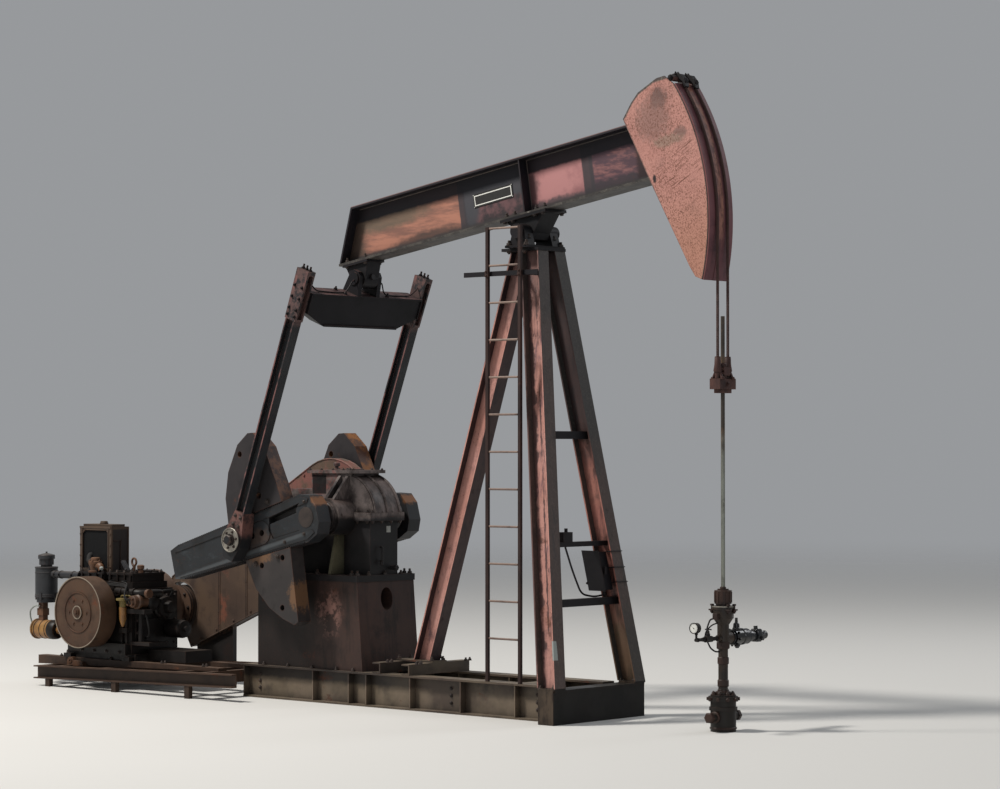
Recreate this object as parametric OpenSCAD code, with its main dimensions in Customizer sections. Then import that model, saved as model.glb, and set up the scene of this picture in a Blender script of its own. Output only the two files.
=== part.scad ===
// Beam pumping unit with a horse head, crank counterweights, gas engine and wellhead.
// Row frame: +X points at the well, -Y is the ladder side, +Z is up.
// The origin is on the ground, under the middle of the saddle bearing.
// All lengths are in millimetres and all angles in degrees.

/* [Part shown] */
// sub-part to build, or all

/* [Linkage] */
// height of the saddle bearing's axis above the ground
saddle_h = 3980; // [3850:5:4100]
// distance from the saddle axis to the polished rod
front_arm = 1940; // [1900:5:1980]
// distance from the saddle axis to the tail bearing's axis
rear_arm = 1989; // [1950:1:2030]
// nose-up angle of the walking beam in the stored pose
beam_tilt = 8.9; // [6:0.1:12]
// distance from the saddle axis back to the crank shaft
shaft_back = 2050; // [2020:5:2080]
// height of the crank shaft's axis above the ground
shaft_h = 1608; // [1560:1:1660]
// radius from the crank shaft to the wrist pin
pin_radius = 800; // [760:5:840]
// angle of the cranks below the horizontal in the stored pose
crank_tilt = 15; // [10:0.5:20]

/* [Walking beam] */
// depth of the walking beam
beam_depth = 485; // [440:5:520]
// flange width of the walking beam
beam_w = 220; // [200:5:240]
// flange thickness of the walking beam
beam_flange = 20; // [14:1:26]
// web thickness of the walking beam
beam_web = 14; // [10:1:20]
// distance from the saddle axis up to the beam's underside
beam_drop = 145; // [140:1:160]
// how far the beam's tail reaches past the tail bearing
tail_over = 191; // [170:1:220]
// how far the tail's slanted end leans forward at the top
tail_slant = 220; // [120:5:260]
// distance from the beam's front end back from the head's face
nose_back = 428; // [410:2:450]
// thickness of the beam's web stiffeners
stiff_t = 12; // [8:1:16]

/* [Horse head] */
// width across the head's side plates
head_w = 300; // [280:5:320]
// thickness of the head's side plates
head_t = 12; // [8:1:16]
// thickness of the curved face plate
face_t = 16; // [12:1:20]
// angle of the face's upper end above the beam's line
face_up = 25.5; // [24:0.5:27]
// angle of the face's lower end below the beam's line
face_down = 23; // [22:0.5:24]
// width of the raised wear strip down the middle of the face
strip_w = 76; // [60:2:90]
// height of the raised wear strip
strip_h = 4; // [3:0.5:6]
// radius of the ropes' anchor bar across the head's top
anchor_r = 26; // [22:1:30]

/* [Bridle and rod] */
// radius of the bridle's wire rope
rope_r = 12; // [9:0.5:14]
// distance between the bridle's two ropes
rope_gap = 130; // [120:2:150]
// radius of the polished rod
rod_r = 16; // [14:0.5:19]
// distance from the saddle axis down to the carrier bar's underside
carrier_drop = 1350; // [1330:5:1360]
// height of the carrier bar
carrier_h = 110; // [95:5:125]
// length of the carrier bar across the unit
carrier_len = 205; // [196:1:216]
// length of the rope sockets
socket_len = 175; // [150:5:190]
// radius of the rope sockets
socket_r = 23; // [20:1:26]
// height of the rod clamp
clamp_h = 95; // [80:5:105]
// distance from the saddle axis down to the polished rod's top end
rod_drop = 750; // [720:5:800]
// height of the polished rod's lower end in the stored pose
rod_low = 500; // [480:5:520]

/* [Pitmans] */
// distance between the two pitmans' centre planes
pitman_gap = 1456; // [1450:2:1480]
// width of a pitman seen from the side
pitman_w = 110; // [96:2:124]
// thickness of a pitman across the unit
pitman_t = 90; // [80:2:94]
// flange thickness of a pitman
pitman_f = 13; // [10:1:16]
// radius of a wrist pin bearing
wrist_r = 106; // [96:2:112]
// distance a wrist bearing's housing reaches below its pin
wrist_low = 180; // [150:5:190]
// clearance between a wrist bearing and its crank
wrist_gap = 6; // [5:0.5:8]
// thickness of a wrist bearing
wrist_t = 150; // [140:1:154]
// distance from the wrist pin up to the pitman's lower end
wrist_plate = 260; // [240:5:280]
// how far the pitman's upper bracket reaches past the tail bearing's axis
bracket_up = 50; // [30:2:60]

/* [Equalizer] */
// depth of the equalizer beam
eq_h = 290; // [260:5:320]
// width of the equalizer beam
eq_w = 200; // [180:5:220]
// distance from the tail bearing's axis down to the equalizer's top
eq_drop = 130; // [120:2:150]
// length of the equalizer's flat underside
eq_flat = 900; // [800:10:1000]
// rise of the equalizer's bevelled ends
eq_rise = 105; // [80:5:130]
// plate thickness of the equalizer
eq_t = 16; // [12:1:20]
// radius of the tail bearing's shaft
tail_r = 45; // [38:1:50]
// radius of the tail bearing's housing
tail_house_r = 82; // [76:1:90]
// half length of the tail bearing's housing
tail_house_w = 85; // [78:1:88]
// thickness of the equalizer's cheeks
cheek_t = 44; // [36:1:50]
// radial clearance of every turning shaft
run_gap = 0.1; // [0.05:0.01:0.1]

/* [Cranks] */
// distance between the outer faces of the cranks
crank_gap = 1280; // [1270:2:1290]
// thickness of a crank
crank_t = 155; // [145:1:158]
// length of a crank from its shaft to its tip
crank_len = 1760; // [1720:5:1775]
// half width of a crank at its shaft
crank_w0 = 212; // [200:1:224]
// half width of a crank at its tip
crank_w1 = 155; // [145:1:165]
// spacing of the teeth on the crank's edges
tooth_pitch = 24; // [20:1:28]
// depth of the teeth on the crank's edges
tooth_d = 15; // [12:0.5:17]
// spacing of the wrist pin holes
hole_pitch = 120; // [110:1:125]
// radius of the wrist pin holes
hole_r = 28; // [22:1:32]
// radius of the raised boss round the pin holes
pin_boss_r = 100; // [90:1:108]
// height of the raised boss and rims on the crank's face
crank_step = 8; // [5:0.5:10]
// depth of the pocket in the crank's face
pocket_d = 70; // [60:1:76]
// radius of the crank shaft
shaft_r = 75; // [65:1:85]
// how far the crankshaft reaches into each crank
shaft_seat = 50; // [40:1:58]
// thickness of a counterweight
weight_t = 150; // [130:1:155]
// radius of the counterweights' lifting holes
lift_r = 26; // [20:1:30]

/* [Base] */
// height of the skid beams
skid_h = 290; // [280:2:300]
// flange width of the skid beams
skid_w = 150; // [130:5:160]
// flange thickness of the skid beams
skid_f = 16; // [12:1:20]
// distance from the middle plane to a skid beam's middle
skid_y = 305; // [295:1:312]
// rear end of the skid beams
skid_rear = 3100; // [3060:5:3140]
// length of the front cross beam
front_len = 1150; // [1130:5:1170]
// rear face of the front cross beam
front_x0 = 530; // [520:1:535]
// width of the front cross beam
front_w = 160; // [155:1:175]
// thickness of the post legs' foot plates
foot_t = 14; // [10:1:18]

/* [Samson post] */
// depth of a post leg from front to back
leg_d = 190; // [170:2:196]
// width of a post leg across the unit
leg_w = 130; // [110:2:132]
// plate thickness of the post legs
leg_t = 13; // [9:1:18]
// distance from the saddle axis down to the cap plate's top
cap_drop = 135; // [130:1:140]
// thickness of the cap plate
cap_t = 24; // [20:1:30]
// spacing of the front legs' feet across the unit
foot_gap = 1010; // [990:5:1020]
// spacing of the front legs' tops across the unit
top_gap = 210; // [200:2:220]
// distance from the saddle axis back to the rear leg's foot
rear_foot = 1225; // [1200:5:1260]
// height of the channels under the rear leg
channel_h = 92; // [80:2:100]
// height of the upper brace between the front legs
brace_z = 2275; // [2200:5:2350]
// height of the lower brace between the front legs
low_brace_z = 920; // [860:5:960]
// spacing of the ladder's rungs
rung_gap = 305; // [290:5:310]
// clear width between the ladder's stiles
ladder_w = 328; // [310:2:340]
// section of the ladder's stiles
stile = 27; // [22:1:30]

// radius of the ladder's rungs
rung_r = 9; // [8:0.5:12]
// distance from the middle plane to the ladder
ladder_y = 360; // [355:1:365]
// distance from the saddle axis back to the ladder's middle
ladder_back = 25; // [0:5:50]
// height of the middle brace between the front legs
mid_brace_z = 1400; // [1380:5:1420]
// half width over the saddle's pillow blocks
saddle_w = 235; // [230:1:240]
// radius of the saddle shaft
saddle_r = 50; // [44:1:54]
// height of the thin braces between the front legs
brace_h = 40; // [34:1:46]

/* [Gearbox] */
// height of the gearbox's lower case with its base plate
case_h = 558; // [530:2:580]
// thickness of the gearbox base plate
plate_t = 56; // [40:2:64]
// half width of the gearbox base plate
plate_w = 358; // [340:2:362]
// half width of the gearbox case
gear_w = 170; // [160:1:180]
// length of the gearbox case
gear_len = 1215; // [1180:5:1240]
// distance from the crank shaft to the case's front face
gear_front = 330; // [320:2:345]
// radius of the gearbox dome over the crank shaft
dome_r = 360; // [350:2:368]
// thickness of the flanges where the two halves of the case meet
split_t = 36; // [28:2:42]
// half width over the crank shaft's bearings
boss_w = 420; // [400:1:430]
// radius of the crank shaft's bearings
boss_r = 135; // [120:1:145]
// distance from the crank shaft back to the input shaft
input_back = 700; // [680:5:720]
// radius of the input shaft's cover
input_r = 85; // [70:1:95]

/* [Belt guard] */
// width of the belt guard
guard_w = 96; // [70:1:98]
// radius of the belt guard's upper end
guard_r = 495; // [470:5:505]
// radius of the cut-out round the clutch drum
guard_cut = 235; // [220:5:245]

/* [Engine] */
// distance from the saddle axis back to the engine's crankshaft
engine_back = 4750; // [4720:5:4780]
// height of the engine's crankshaft
engine_h = 700; // [690:1:710]
// radius of the flywheel
fly_r = 325; // [300:5:335]
// width of the flywheel
fly_w = 190; // [160:2:200]
// distance from the middle plane to the flywheel's near face
fly_y = 900; // [890:1:910]
// length of the engine block
block_len = 900; // [860:5:930]
// height of the engine block's top above its crankshaft
block_up = 185; // [170:5:200]
// radius of the clutch's bell housing
bell_r = 365; // [340:5:375]
// height of the engine's rails above the ground
rail_z = 244; // [232:1:250]
// how far the rails fall away to the rear
rail_fall = 58; // [0:2:64]
// height of the level bearers under the engine
bed_z = 262; // [256:1:268]
// width of a bearer
bearer_w = 100; // [80:5:110]
// depth of the engine's rails
rail_h = 120; // [100:2:130]
// width of the engine's rails
rail_w = 60; // [50:1:64]
// distance from the middle plane to the near rail's outer face
rail_y = 890; // [880:1:900]
// distance from the middle plane to the far rail's inner face
rail_far_y = 390; // [385:1:394]
// length of the engine's near rail
rail_len = 2690; // [2650:5:2720]
// width of the radiator
rad_w = 440; // [420:5:460]
// height of the radiator
rad_h = 420; // [400:5:440]
// radius of the air filter
filter_r = 105; // [95:1:115]

// distance from the middle plane to the air filter's axis
filter_y0 = 560; // [550:5:580]
// distance from the engine block's end back to the air filter's axis
filter_out = 410; // [380:5:440]
// height of the air filter's lower edge over the engine's shaft
filter_up = 48; // [30:2:60]
// radius of the flywheel's shaft
fly_shaft_r = 40; // [36:1:44]
// distance from the middle plane to the engine block's near face
block_near = 640; // [630:2:650]
// distance from the middle plane to the engine block's far face
block_far = 90; // [80:2:100]
// height of the cylinder head
head_h = 135; // [120:5:150]
// length of the step on the engine's base, towards the gearbox
step_len = 540; // [500:10:560]
// height of the step on the engine's base
step_h = 105; // [90:5:120]
// length of the belt guard's foot
foot_len = 490; // [460:10:510]

/* [Wellhead] */
// radius of the tubing above the casing head
tube_r = 38; // [34:1:42]
// height of the casing head
casing_h = 285; // [270:5:300]
// radius of the casing head
casing_r = 100; // [90:1:110]
// height of the flow outlet's axis
outlet_z = 725; // [700:5:740]
// height of the stuffing box's base
stuff_z = 975; // [955:5:985]
// height of the stuffing box
stuff_h = 118; // [110:1:125]

/* [Hidden] */
$fn = 48;

rust = [0.36, 0.25, 0.21];
pink = [0.66, 0.42, 0.37];
grey = [0.24, 0.26, 0.29];
dark = [0.12, 0.11, 0.11];
brown = [0.40, 0.24, 0.20];

// tail bearing and wrist pin in the row frame
tail_x = -rear_arm * cos(beam_tilt);
tail_z = saddle_h - rear_arm * sin(beam_tilt);
wrist_x = -shaft_back - pin_radius * cos(crank_tilt);
wrist_z = shaft_h - pin_radius * sin(crank_tilt);
pitman_len = norm([tail_x - wrist_x, tail_z - wrist_z]);
pitman_lean = atan2(tail_x - wrist_x, tail_z - wrist_z);
pitman_y0 = pitman_gap / 2 - pitman_t / 2;
pitman_y1 = pitman_gap / 2 + pitman_t / 2;

face_r = front_arm - rope_r - 0.5;
beam_nose = face_r - nose_back;
beam_tail = rear_arm + tail_over;
beam_top = beam_drop + beam_depth;
carrier_z = saddle_h - carrier_drop;
carrier_top = carrier_z + carrier_h;
socket_z = carrier_top + socket_len;

crank_y1 = crank_gap / 2;
crank_y0 = crank_y1 - crank_t;

cap_z = saddle_h - cap_drop;
front_h = skid_h - foot_t;
leg_foot = [front_x0 + front_w / 2, foot_gap / 2, skid_h];
leg_top = [85, top_gap / 2, cap_z - cap_t];
rear_z = skid_h + channel_h + foot_t;
rear_top_x = -115;

plate_z = shaft_h - case_h;
case_z = plate_z + plate_t;
gear_x1 = -shaft_back + gear_front;
gear_x0 = gear_x1 - gear_len;
input_x = -shaft_back - input_back;

block_x0 = -engine_back - block_len / 2;
block_x1 = -engine_back + block_len / 2;
block_top = engine_h + block_up;
rail_x0 = -engine_back - 640;

block_y0 = -block_near;
block_y1 = -block_far;
head_top = block_top + 30 + head_h;
radiator_y1 = block_y1 - 200;
filter_x = block_x0 - filter_out;
filter_y = -filter_y0;
ladder_x = -ladder_back;
ladder_top = saddle_h + 20;

module on_beam() {
    translate([0, 0, saddle_h])
        rotate([0, -beam_tilt, 0])
            children();
}

module on_pitman() {
    translate([tail_x, 0, tail_z])
        rotate([0, pitman_lean, 0])
            children();
}

module on_crank() {
    translate([-shaft_back, 0, shaft_h])
        rotate([0, -crank_tilt, 0])
            children();
}

// plate whose outline is given in X and Z, between two values of Y
module side_plate(points, y0, y1) {
    translate([0, y1, 0])
        rotate([90, 0, 0])
            linear_extrude(y1 - y0)
                polygon(points);
}

// plate whose outline is given in Y and Z, between two values of X
module cross_plate(points, x0, x1) {
    translate([x0, 0, 0])
        rotate([90, 0, 90])
            linear_extrude(x1 - x0)
                polygon(points);
}

module box(x0, x1, y0, y1, z0, z1) {
    translate([x0, y0, z0])
        cube([x1 - x0, y1 - y0, z1 - z0]);
}

module bar_x(y, z, r, x0, x1) {
    translate([x0, y, z])
        rotate([0, 90, 0])
            cylinder(r = r, h = x1 - x0);
}

module bar_y(x, z, r, y0, y1) {
    translate([x, y1, z])
        rotate([90, 0, 0])
            cylinder(r = r, h = y1 - y0);
}

module bar_z(x, y, r, z0, z1) {
    translate([x, y, z0])
        cylinder(r = r, h = z1 - z0);
}

function arc(r, a0, a1, n) = [for (i = [0 : n]) let (a = a0 + (a1 - a0) * i / n) [r * cos(a), r * sin(a)]];

// Base

// rolled beam along X with its web stiffeners
module skid_beam(side) {
    y = side * skid_y;
    half = skid_w / 2;
    union() {
        box(-skid_rear, front_x0, y - half, y + half, 0, skid_f);
        box(-skid_rear, front_x0, y - half, y + half, skid_h - skid_f, skid_h);
        box(-skid_rear, front_x0, y - stiff_t / 2, y + stiff_t / 2, skid_f, skid_h - skid_f);
        for (x = [-skid_rear, gear_x0 + 700, gear_x1 - 80, gear_x1 + 130, -rear_foot + 150, -500, 100,
            front_x0 - stiff_t])
            box(x, x + stiff_t, y - half + 4, y + half - 4, skid_f, skid_h - skid_f);
    }
}

module skid_beams() {
    color(rust)
        for (s = [-1, 1])
            skid_beam(s);
}

module front_cross_beam() {
    x1 = front_x0 + front_w;
    half = front_len / 2;
    color(rust) union() {
        box(front_x0, x1, -half, half, 0, front_h);
        box(front_x0, x1 + 8, -half + 8, half - 8, front_h - 16, front_h);
        for (s = [-1, 1])
            box(front_x0 + 2, x1 + 12, s * leg_foot[1] - leg_w / 2 - 4, s * leg_foot[1] + leg_w / 2 + 4,
                front_h, skid_h);
    }
}

module skid_cross_beams() {
    half = skid_y - skid_w / 2;
    color(rust)
        for (x = [-skid_rear + 150, gear_x1 + 220, -75])
            box(x, x + 150, -half, half, 0, skid_h - 20);
}

// channel across the unit, open towards -X
module channel_y(x1, w, half, z0, z1, t) {
    box(x1 - t, x1, -half, half, z0, z1);
    box(x1 - w, x1, -half, half, z0, z0 + t);
    box(x1 - w, x1, -half, half, z1 - t, z1);
}

// two channels on the skids that carry the rear leg's foot plate
module rear_leg_channels() {
    half = skid_y + skid_w / 2 - 5;
    mid = -rear_foot - 65;
    side = leg_w / 2 + 25;
    color(rust) union() {
        channel_y(mid - 125, 90, half, skid_h, skid_h + channel_h, 12);
        channel_y(mid + 215, 90, half, skid_h, skid_h + channel_h, 12);
        box(mid - 215, mid + 215, -side, side, skid_h + channel_h, rear_z);
    }
}

// Samson post

// H section with its web from front to back
module leg_profile() {
    square([leg_d, leg_t], center = true);
    for (s = [-1, 1])
        translate([s * (leg_d - leg_t) / 2, 0])
            square([leg_t, leg_w], center = true);
}

// follows a slope from one point to a higher one, with x and y counted from it
module lean(foot, top) {
    sx = (top[0] - foot[0]) / (top[2] - foot[2]);
    sy = (top[1] - foot[1]) / (top[2] - foot[2]);
    multmatrix([[1, 0, sx, foot[0] - sx * foot[2]],
        [0, 1, sy, foot[1] - sy * foot[2]],
        [0, 0, 1, 0],
        [0, 0, 0, 1]])
        children();
}

module leg(foot, top) {
    lean(foot, top)
        translate([0, 0, foot[2]])
            linear_extrude(top[2] - foot[2])
                leg_profile();
}

function mirrored(p) = [p[0], -p[1], p[2]];

// middle line of the front legs at a height
function leg_share(z) = (z - leg_foot[2]) / (leg_top[2] - leg_foot[2]);
function leg_x(z) = leg_foot[0] + (leg_top[0] - leg_foot[0]) * leg_share(z);
function leg_y(z) = leg_foot[1] + (leg_top[1] - leg_foot[1]) * leg_share(z);

module post_leg_near() {
    color(pink) leg(mirrored(leg_foot), mirrored(leg_top));
}

module post_leg_far() {
    color(pink) leg(leg_foot, leg_top);
}

module post_leg_rear() {
    color(pink) leg([-rear_foot, 0, rear_z], [rear_top_x, 0, leg_top[2]]);
}

// flat bar between the webs of the front legs
module brace(z, h, w) {
    y0 = leg_y(z) - leg_t / 2;
    y1 = leg_y(z + h) - leg_t / 2;
    x = leg_x(z + h / 2);
    cross_plate([[-y0, z], [y0, z], [y1, z + h], [-y1, z + h]], x - w / 2, x + w / 2);
}

module post_braces() {
    color(rust) union() {
        brace(brace_z, 1.6 * brace_h, 90);
        brace(mid_brace_z, brace_h, 50);
        brace(low_brace_z, 1.5 * brace_h, 60);
        ladder_bracket();
    }
}

// bar behind the ladder with two arms to the near leg
module ladder_bracket() {
    z = ladder_top - 370;
    y = -ladder_y + stile / 2;
    leg_side = -leg_y(z - 20) - leg_w / 2 - 0.1;
    box(ladder_x - 455, ladder_x + 350, y, y + 12, z - 20, z + 20);
    for (s = [-1, 1])
        translate([leg_x(z) + s * (leg_d / 2 - 7), 0, z])
            box(-6, 6, y + 12, leg_side, -20, 20);
}

module post_cap() {
    color(dark) box(rear_top_x - leg_d / 2 - 5, leg_top[0] + leg_d / 2 + 5, -leg_top[1] - leg_w / 2 - 5,
        leg_top[1] + leg_w / 2 + 5, cap_z - cap_t, cap_z);
}

// two pillow blocks on a base plate
module saddle_bearing() {
    half = saddle_w - 75;
    color(dark) union() {
        box(-125, 125, -saddle_w, saddle_w, cap_z, cap_z + 20);
        for (s = [-1, 1])
            difference() {
                union() {
                    side_plate([[-100, cap_z + 15], [100, cap_z + 15], [64, saddle_h], [-64, saddle_h]],
                        s * half - 50, s * half + 50);
                    bar_y(0, saddle_h, 64, s * half - 50, s * half + 50);
                }
                bar_y(0, saddle_h, saddle_r + run_gap, -saddle_w - 50, saddle_w + 50);
            }
    }
}

module ladder_stiles() {
    color(dark)
        for (s = [-1, 1])
            translate([ladder_x + s * (ladder_w + stile) / 2, -ladder_y, 0])
                box(-stile / 2, stile / 2, -stile / 2, stile / 2, skid_h, ladder_top + 12);
}

module ladder_rungs() {
    color(dark)
        for (i = [0 : 11])
            translate([ladder_x, 0, ladder_top - i * rung_gap])
                bar_x(-ladder_y, 0, rung_r, -ladder_w / 2, ladder_w / 2);
}

// switch box on the far leg and a small junction box on the middle brace
module control_boxes() {
    x = leg_x(mid_brace_z);
    z = mid_brace_z + brace_h;
    color(grey) union() {
        lean(leg_foot, leg_top) union() {
            box(-120, 40, -leg_w / 2 - 105, -leg_w / 2, 1040, 1350);
            box(-130, 50, -leg_w / 2 - 109, -leg_w / 2 - 105, 1030, 1360);
        }
        box(x - 35, x + 25, -190, -75, z, z + 80);
        bar_z(x, -130, 14, z + 80, z + 110);
    }
}

// Gearbox

module gearbox_pedestal() {
    x0 = gear_x0 - 5;
    color(rust) difference() {
        side_plate([[x0, skid_h], [gear_x1 + 70, skid_h], [gear_x1 + 8, plate_z], [x0, plate_z]], -350, 350);
        translate([gear_x1 - 320, 0, plate_z - 150])
            rotate([0, 90, 0])
                linear_extrude(500)
                    scale([1.35, 1])
                        circle(r = 72);
    }
}

// half of a round boss along Y, above or below the level of the shafts
module half_boss(x, r, y0, y1, up) {
    intersection() {
        bar_y(x, shaft_h, r, y0, y1);
        box(x - r - 1, x + r + 1, y0, y1, up ? shaft_h : shaft_h - r - 1, up ? shaft_h + r + 1 : shaft_h);
    }
}

module shaft_bores() {
    bar_y(-shaft_back, shaft_h, shaft_r + run_gap, -boss_w - 50, boss_w + 50);
}

module gearbox_lower() {
    color(grey) difference() {
        union() {
            box(gear_x0 - 15, gear_x1 + 15, -plate_w, plate_w, plate_z, case_z);
            box(gear_x0, gear_x1 - 15, -gear_w, gear_w, case_z, shaft_h);
            box(gear_x0 - 30, gear_x1 + 30, -gear_w - 40, gear_w + 40, shaft_h - split_t, shaft_h);
            half_boss(-shaft_back, boss_r, -boss_w, boss_w, false);
            half_boss(-shaft_back, boss_r + 24, -boss_w + 30, boss_w - 30, false);
            half_boss(input_x, input_r, -gear_w - 60, plate_w, false);
            for (s = [-1, 1])
                for (x = [-shaft_back - 30, input_x - 15])
                    cross_plate([[s * gear_w, case_z], [s * (plate_w - 20), case_z],
                        [s * (gear_w + 60), shaft_h - 50], [s * gear_w, shaft_h - 50]], x, x + 34);
        }
        shaft_bores();
    }
}

module gearbox_upper() {
    top = shaft_h + dome_r + 12;
    color(grey) difference() {
        union() {
            half_boss(-shaft_back, dome_r, -gear_w, gear_w, true);
            half_boss(input_x + 60, 235, -gear_w, gear_w, true);
            half_boss(-shaft_back, boss_r, -boss_w, boss_w, true);
            half_boss(-shaft_back, boss_r + 24, -boss_w + 30, boss_w - 30, true);
            half_boss(input_x, input_r, -gear_w - 60, plate_w, true);
            box(input_x + 60, -shaft_back, -gear_w, gear_w, shaft_h, shaft_h + 235);
            box(gear_x0 - 30, gear_x1 + 30, -gear_w - 40, gear_w + 40, shaft_h, shaft_h + split_t);
            box(-shaft_back - 400, -shaft_back + 90, -gear_w, gear_w, shaft_h + 200, top);
            box(-shaft_back - 440, -shaft_back + 150, -gear_w - 20, gear_w + 20, top, top + 28);
            for (s = [-1, 1])
                for (x = [-shaft_back - 60, -shaft_back + 30])
                    cross_plate([[s * gear_w, shaft_h + 60], [s * (boss_w - 40), shaft_h + 60],
                        [s * (boss_w - 40), shaft_h + 120], [s * gear_w, top - 10]], x, x + 30);
        }
        shaft_bores();
    }
}

// Belt guard

module belt_guard() {
    top = [for (p = arc(guard_r, -62, 118, 24)) [p[0] + input_x, p[1] + shaft_h]];
    tail = [[-engine_back - 120, engine_h + 280], [-engine_back - 120, engine_h + 80],
        [-engine_back + 150, engine_h - 370]];
    y1 = plate_w + guard_w;
    foot_x = -engine_back + 190;
    color(rust) difference() {
        union() {
            side_plate(concat(top, tail), plate_w, y1);
            side_plate([[foot_x, rail_top(foot_x)], [foot_x + foot_len, rail_top(foot_x + foot_len)],
                [foot_x + foot_len, engine_h - 140], [foot_x, engine_h - 338]], plate_w + 37, y1 - 10);
        }
        bar_y(-engine_back, engine_h, guard_cut, plate_w - 10, y1 + 10);
    }
}

// Engine

// top of the rails, which fall away to the rear
function rail_top(x) = rail_z - rail_fall * (rail_x0 + rail_len - x) / rail_len;

// bar along X between two heights under the rails' sloping top
module sloped_bar(x0, x1, y0, y1, low, high) {
    side_plate([[x0, rail_top(x0) - low], [x1, rail_top(x1) - low], [x1, rail_top(x1) - high],
        [x0, rail_top(x0) - high]], y0, y1);
}

// channel rail along X with short legs, open on one side
module engine_rail(y, side, x1) {
    difference() {
        sloped_bar(rail_x0, x1, y, y + rail_w, rail_h, 0);
        sloped_bar(rail_x0 - 10, x1 + 10, y + side * 10, y + rail_w + side * 10, rail_h - 12, 12);
    }
    for (x = [rail_x0 + 160, rail_x0 + 1090, x1 - 620])
        box(x, x + 60, y + 8, y + rail_w - 8, 0, rail_top(x) - rail_h + 3);
}

module engine_rails() {
    color(rust) {
        engine_rail(-rail_y, -1, rail_x0 + rail_len);
        engine_rail(rail_far_y, 1, rail_x0 + rail_len);
    }
}

module engine_cross_members() {
    color(rust) union() {
        for (x = [rail_x0, block_x0 + 60, block_x1 - 200, rail_x0 + 1890])
            sloped_bar(x, x + 80, -rail_y + rail_w, rail_far_y, rail_h - 14, 0);
        sloped_bar(-skid_rear - 80, -skid_rear, -rail_y + rail_w, rail_far_y, rail_h - 14, 0);
    }
}

// two bearers on the cross members, level on top
module engine_bearers() {
    x0 = rail_x0 - 210;
    x1 = -skid_rear - 20;
    color(dark)
        for (y = [block_y0 - 20, block_y1 - 110])
            side_plate([[x0, rail_top(x0)], [x1, rail_top(x1)], [x1, bed_z], [x0, bed_z]], y, y + bearer_w);
}

module engine_block() {
    inner = -fly_y + fly_w;
    color(dark) difference() {
        union() {
            box(block_x0, block_x1, block_y0, block_y1, bed_z + 60, block_top);
            box(block_x0 - 40, block_x1 + 30, block_y0 + 20, block_y1 - 20, bed_z, bed_z + 60);
            box(block_x1 + 29, block_x1 + step_len, block_y0 + 170, block_y1 - 60, bed_z, bed_z + step_h);
            box(block_x0 + 20, block_x1 - 20, block_y0 + 30, block_y1 - 40, block_top, block_top + 30);
            bar_y(-engine_back, engine_h, 150, inner + 10, block_y0);
        }
        bar_y(-engine_back, engine_h, fly_shaft_r + run_gap, inner, block_y0 + 150);
    }
}

module cylinder_head() {
    z0 = block_top + 30;
    color(dark) union() {
        box(block_x0 + 60, block_x1 - 60, block_y0 + 60, block_y1 - 70, z0, z0 + 60);
        for (x = [block_x0 + 80, -engine_back + 30])
            box(x, x + block_len / 2 - 110, block_y0 + 80, block_y1 - 90, z0 + 60, head_top);
        translate([-engine_back - 170, block_y0 + 96, head_top])
            box(-60, 60, -34, 34, -1, 60);
        bar_z(-engine_back - 170, block_y0 + 96, 34, head_top + 60, head_top + 135);
    }
}

module clutch_housing() {
    color(brown) union() {
        bar_y(-engine_back, engine_h, bell_r, block_y1, block_y1 + 130);
        bar_y(-engine_back, engine_h, bell_r - 60, block_y1 + 130, block_y1 + 200);
        box(-engine_back - 230, -engine_back + 230, block_y1, block_y1 + 200, bed_z, engine_h - 240);
        bar_y(-engine_back, engine_h, 120, block_y1 + 200, plate_w - 60);
        bar_y(-engine_back, engine_h, guard_cut - 30, plate_w - 60, plate_w + guard_w - 6);
    }
}

module radiator() {
    x0 = -engine_back - 440;
    y1 = radiator_y1;
    z0 = head_top;
    color(brown) union() {
        difference() {
            box(x0, x0 + rad_w, y1 - 215, y1, z0, z0 + rad_h);
            box(x0 + 34, x0 + rad_w - 34, y1 - 216, y1 - 180, z0 + 34, z0 + rad_h - 34);
        }
        box(x0 + 20, x0 + rad_w - 20, y1 - 190, y1 - 30, z0 + rad_h, z0 + rad_h + 22);
        bar_z(x0 + rad_w / 2, y1 - 110, 30, z0 + rad_h + 22, z0 + rad_h + 42);
    }
}

module air_filter() {
    x = filter_x;
    z = engine_h + filter_up;
    color(dark) union() {
        bar_z(x, filter_y, filter_r, z + 45, z + 330);
        bar_z(x, filter_y, filter_r - 14, z, z + 45);
        bar_z(x, filter_y, filter_r - 50, z + 330, z + 352);
        bar_z(x, filter_y, filter_r - 38, z + 352, z + 408);
        bar_z(x, filter_y, filter_r - 26, z + 408, z + 440);
        bar_x(filter_y, head_top - 36, 34, x, block_x0 + 80);
    }
}

module oil_filter() {
    color(rust) union() {
        bar_x(filter_y, engine_h - 205, 88, filter_x - 115, filter_x + 95);
        bar_x(filter_y, engine_h - 205, 96, filter_x - 128, filter_x - 112);
        bar_x(filter_y, engine_h - 205, 74, filter_x + 95, filter_x + 180);
        bar_x(filter_y, engine_h - 205, 40, filter_x + 180, block_x0);
    }
}

module flywheel() {
    y0 = -fly_y;
    y1 = -fly_y + fly_w;
    color(brown) union() {
        difference() {
            bar_y(-engine_back, engine_h, fly_r, y0, y1);
            bar_y(-engine_back, engine_h, fly_r - 14, y0 - 1, y0 + 6);
        }
        bar_y(-engine_back, engine_h, 62, y0 - 6, y0 + 6);
        bar_y(-engine_back, engine_h, 30, y0 - 16, y0 - 6);
        bar_y(-engine_back, engine_h, fly_shaft_r, y1, block_y0 + 140);
    }
}

// Wellhead

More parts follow.
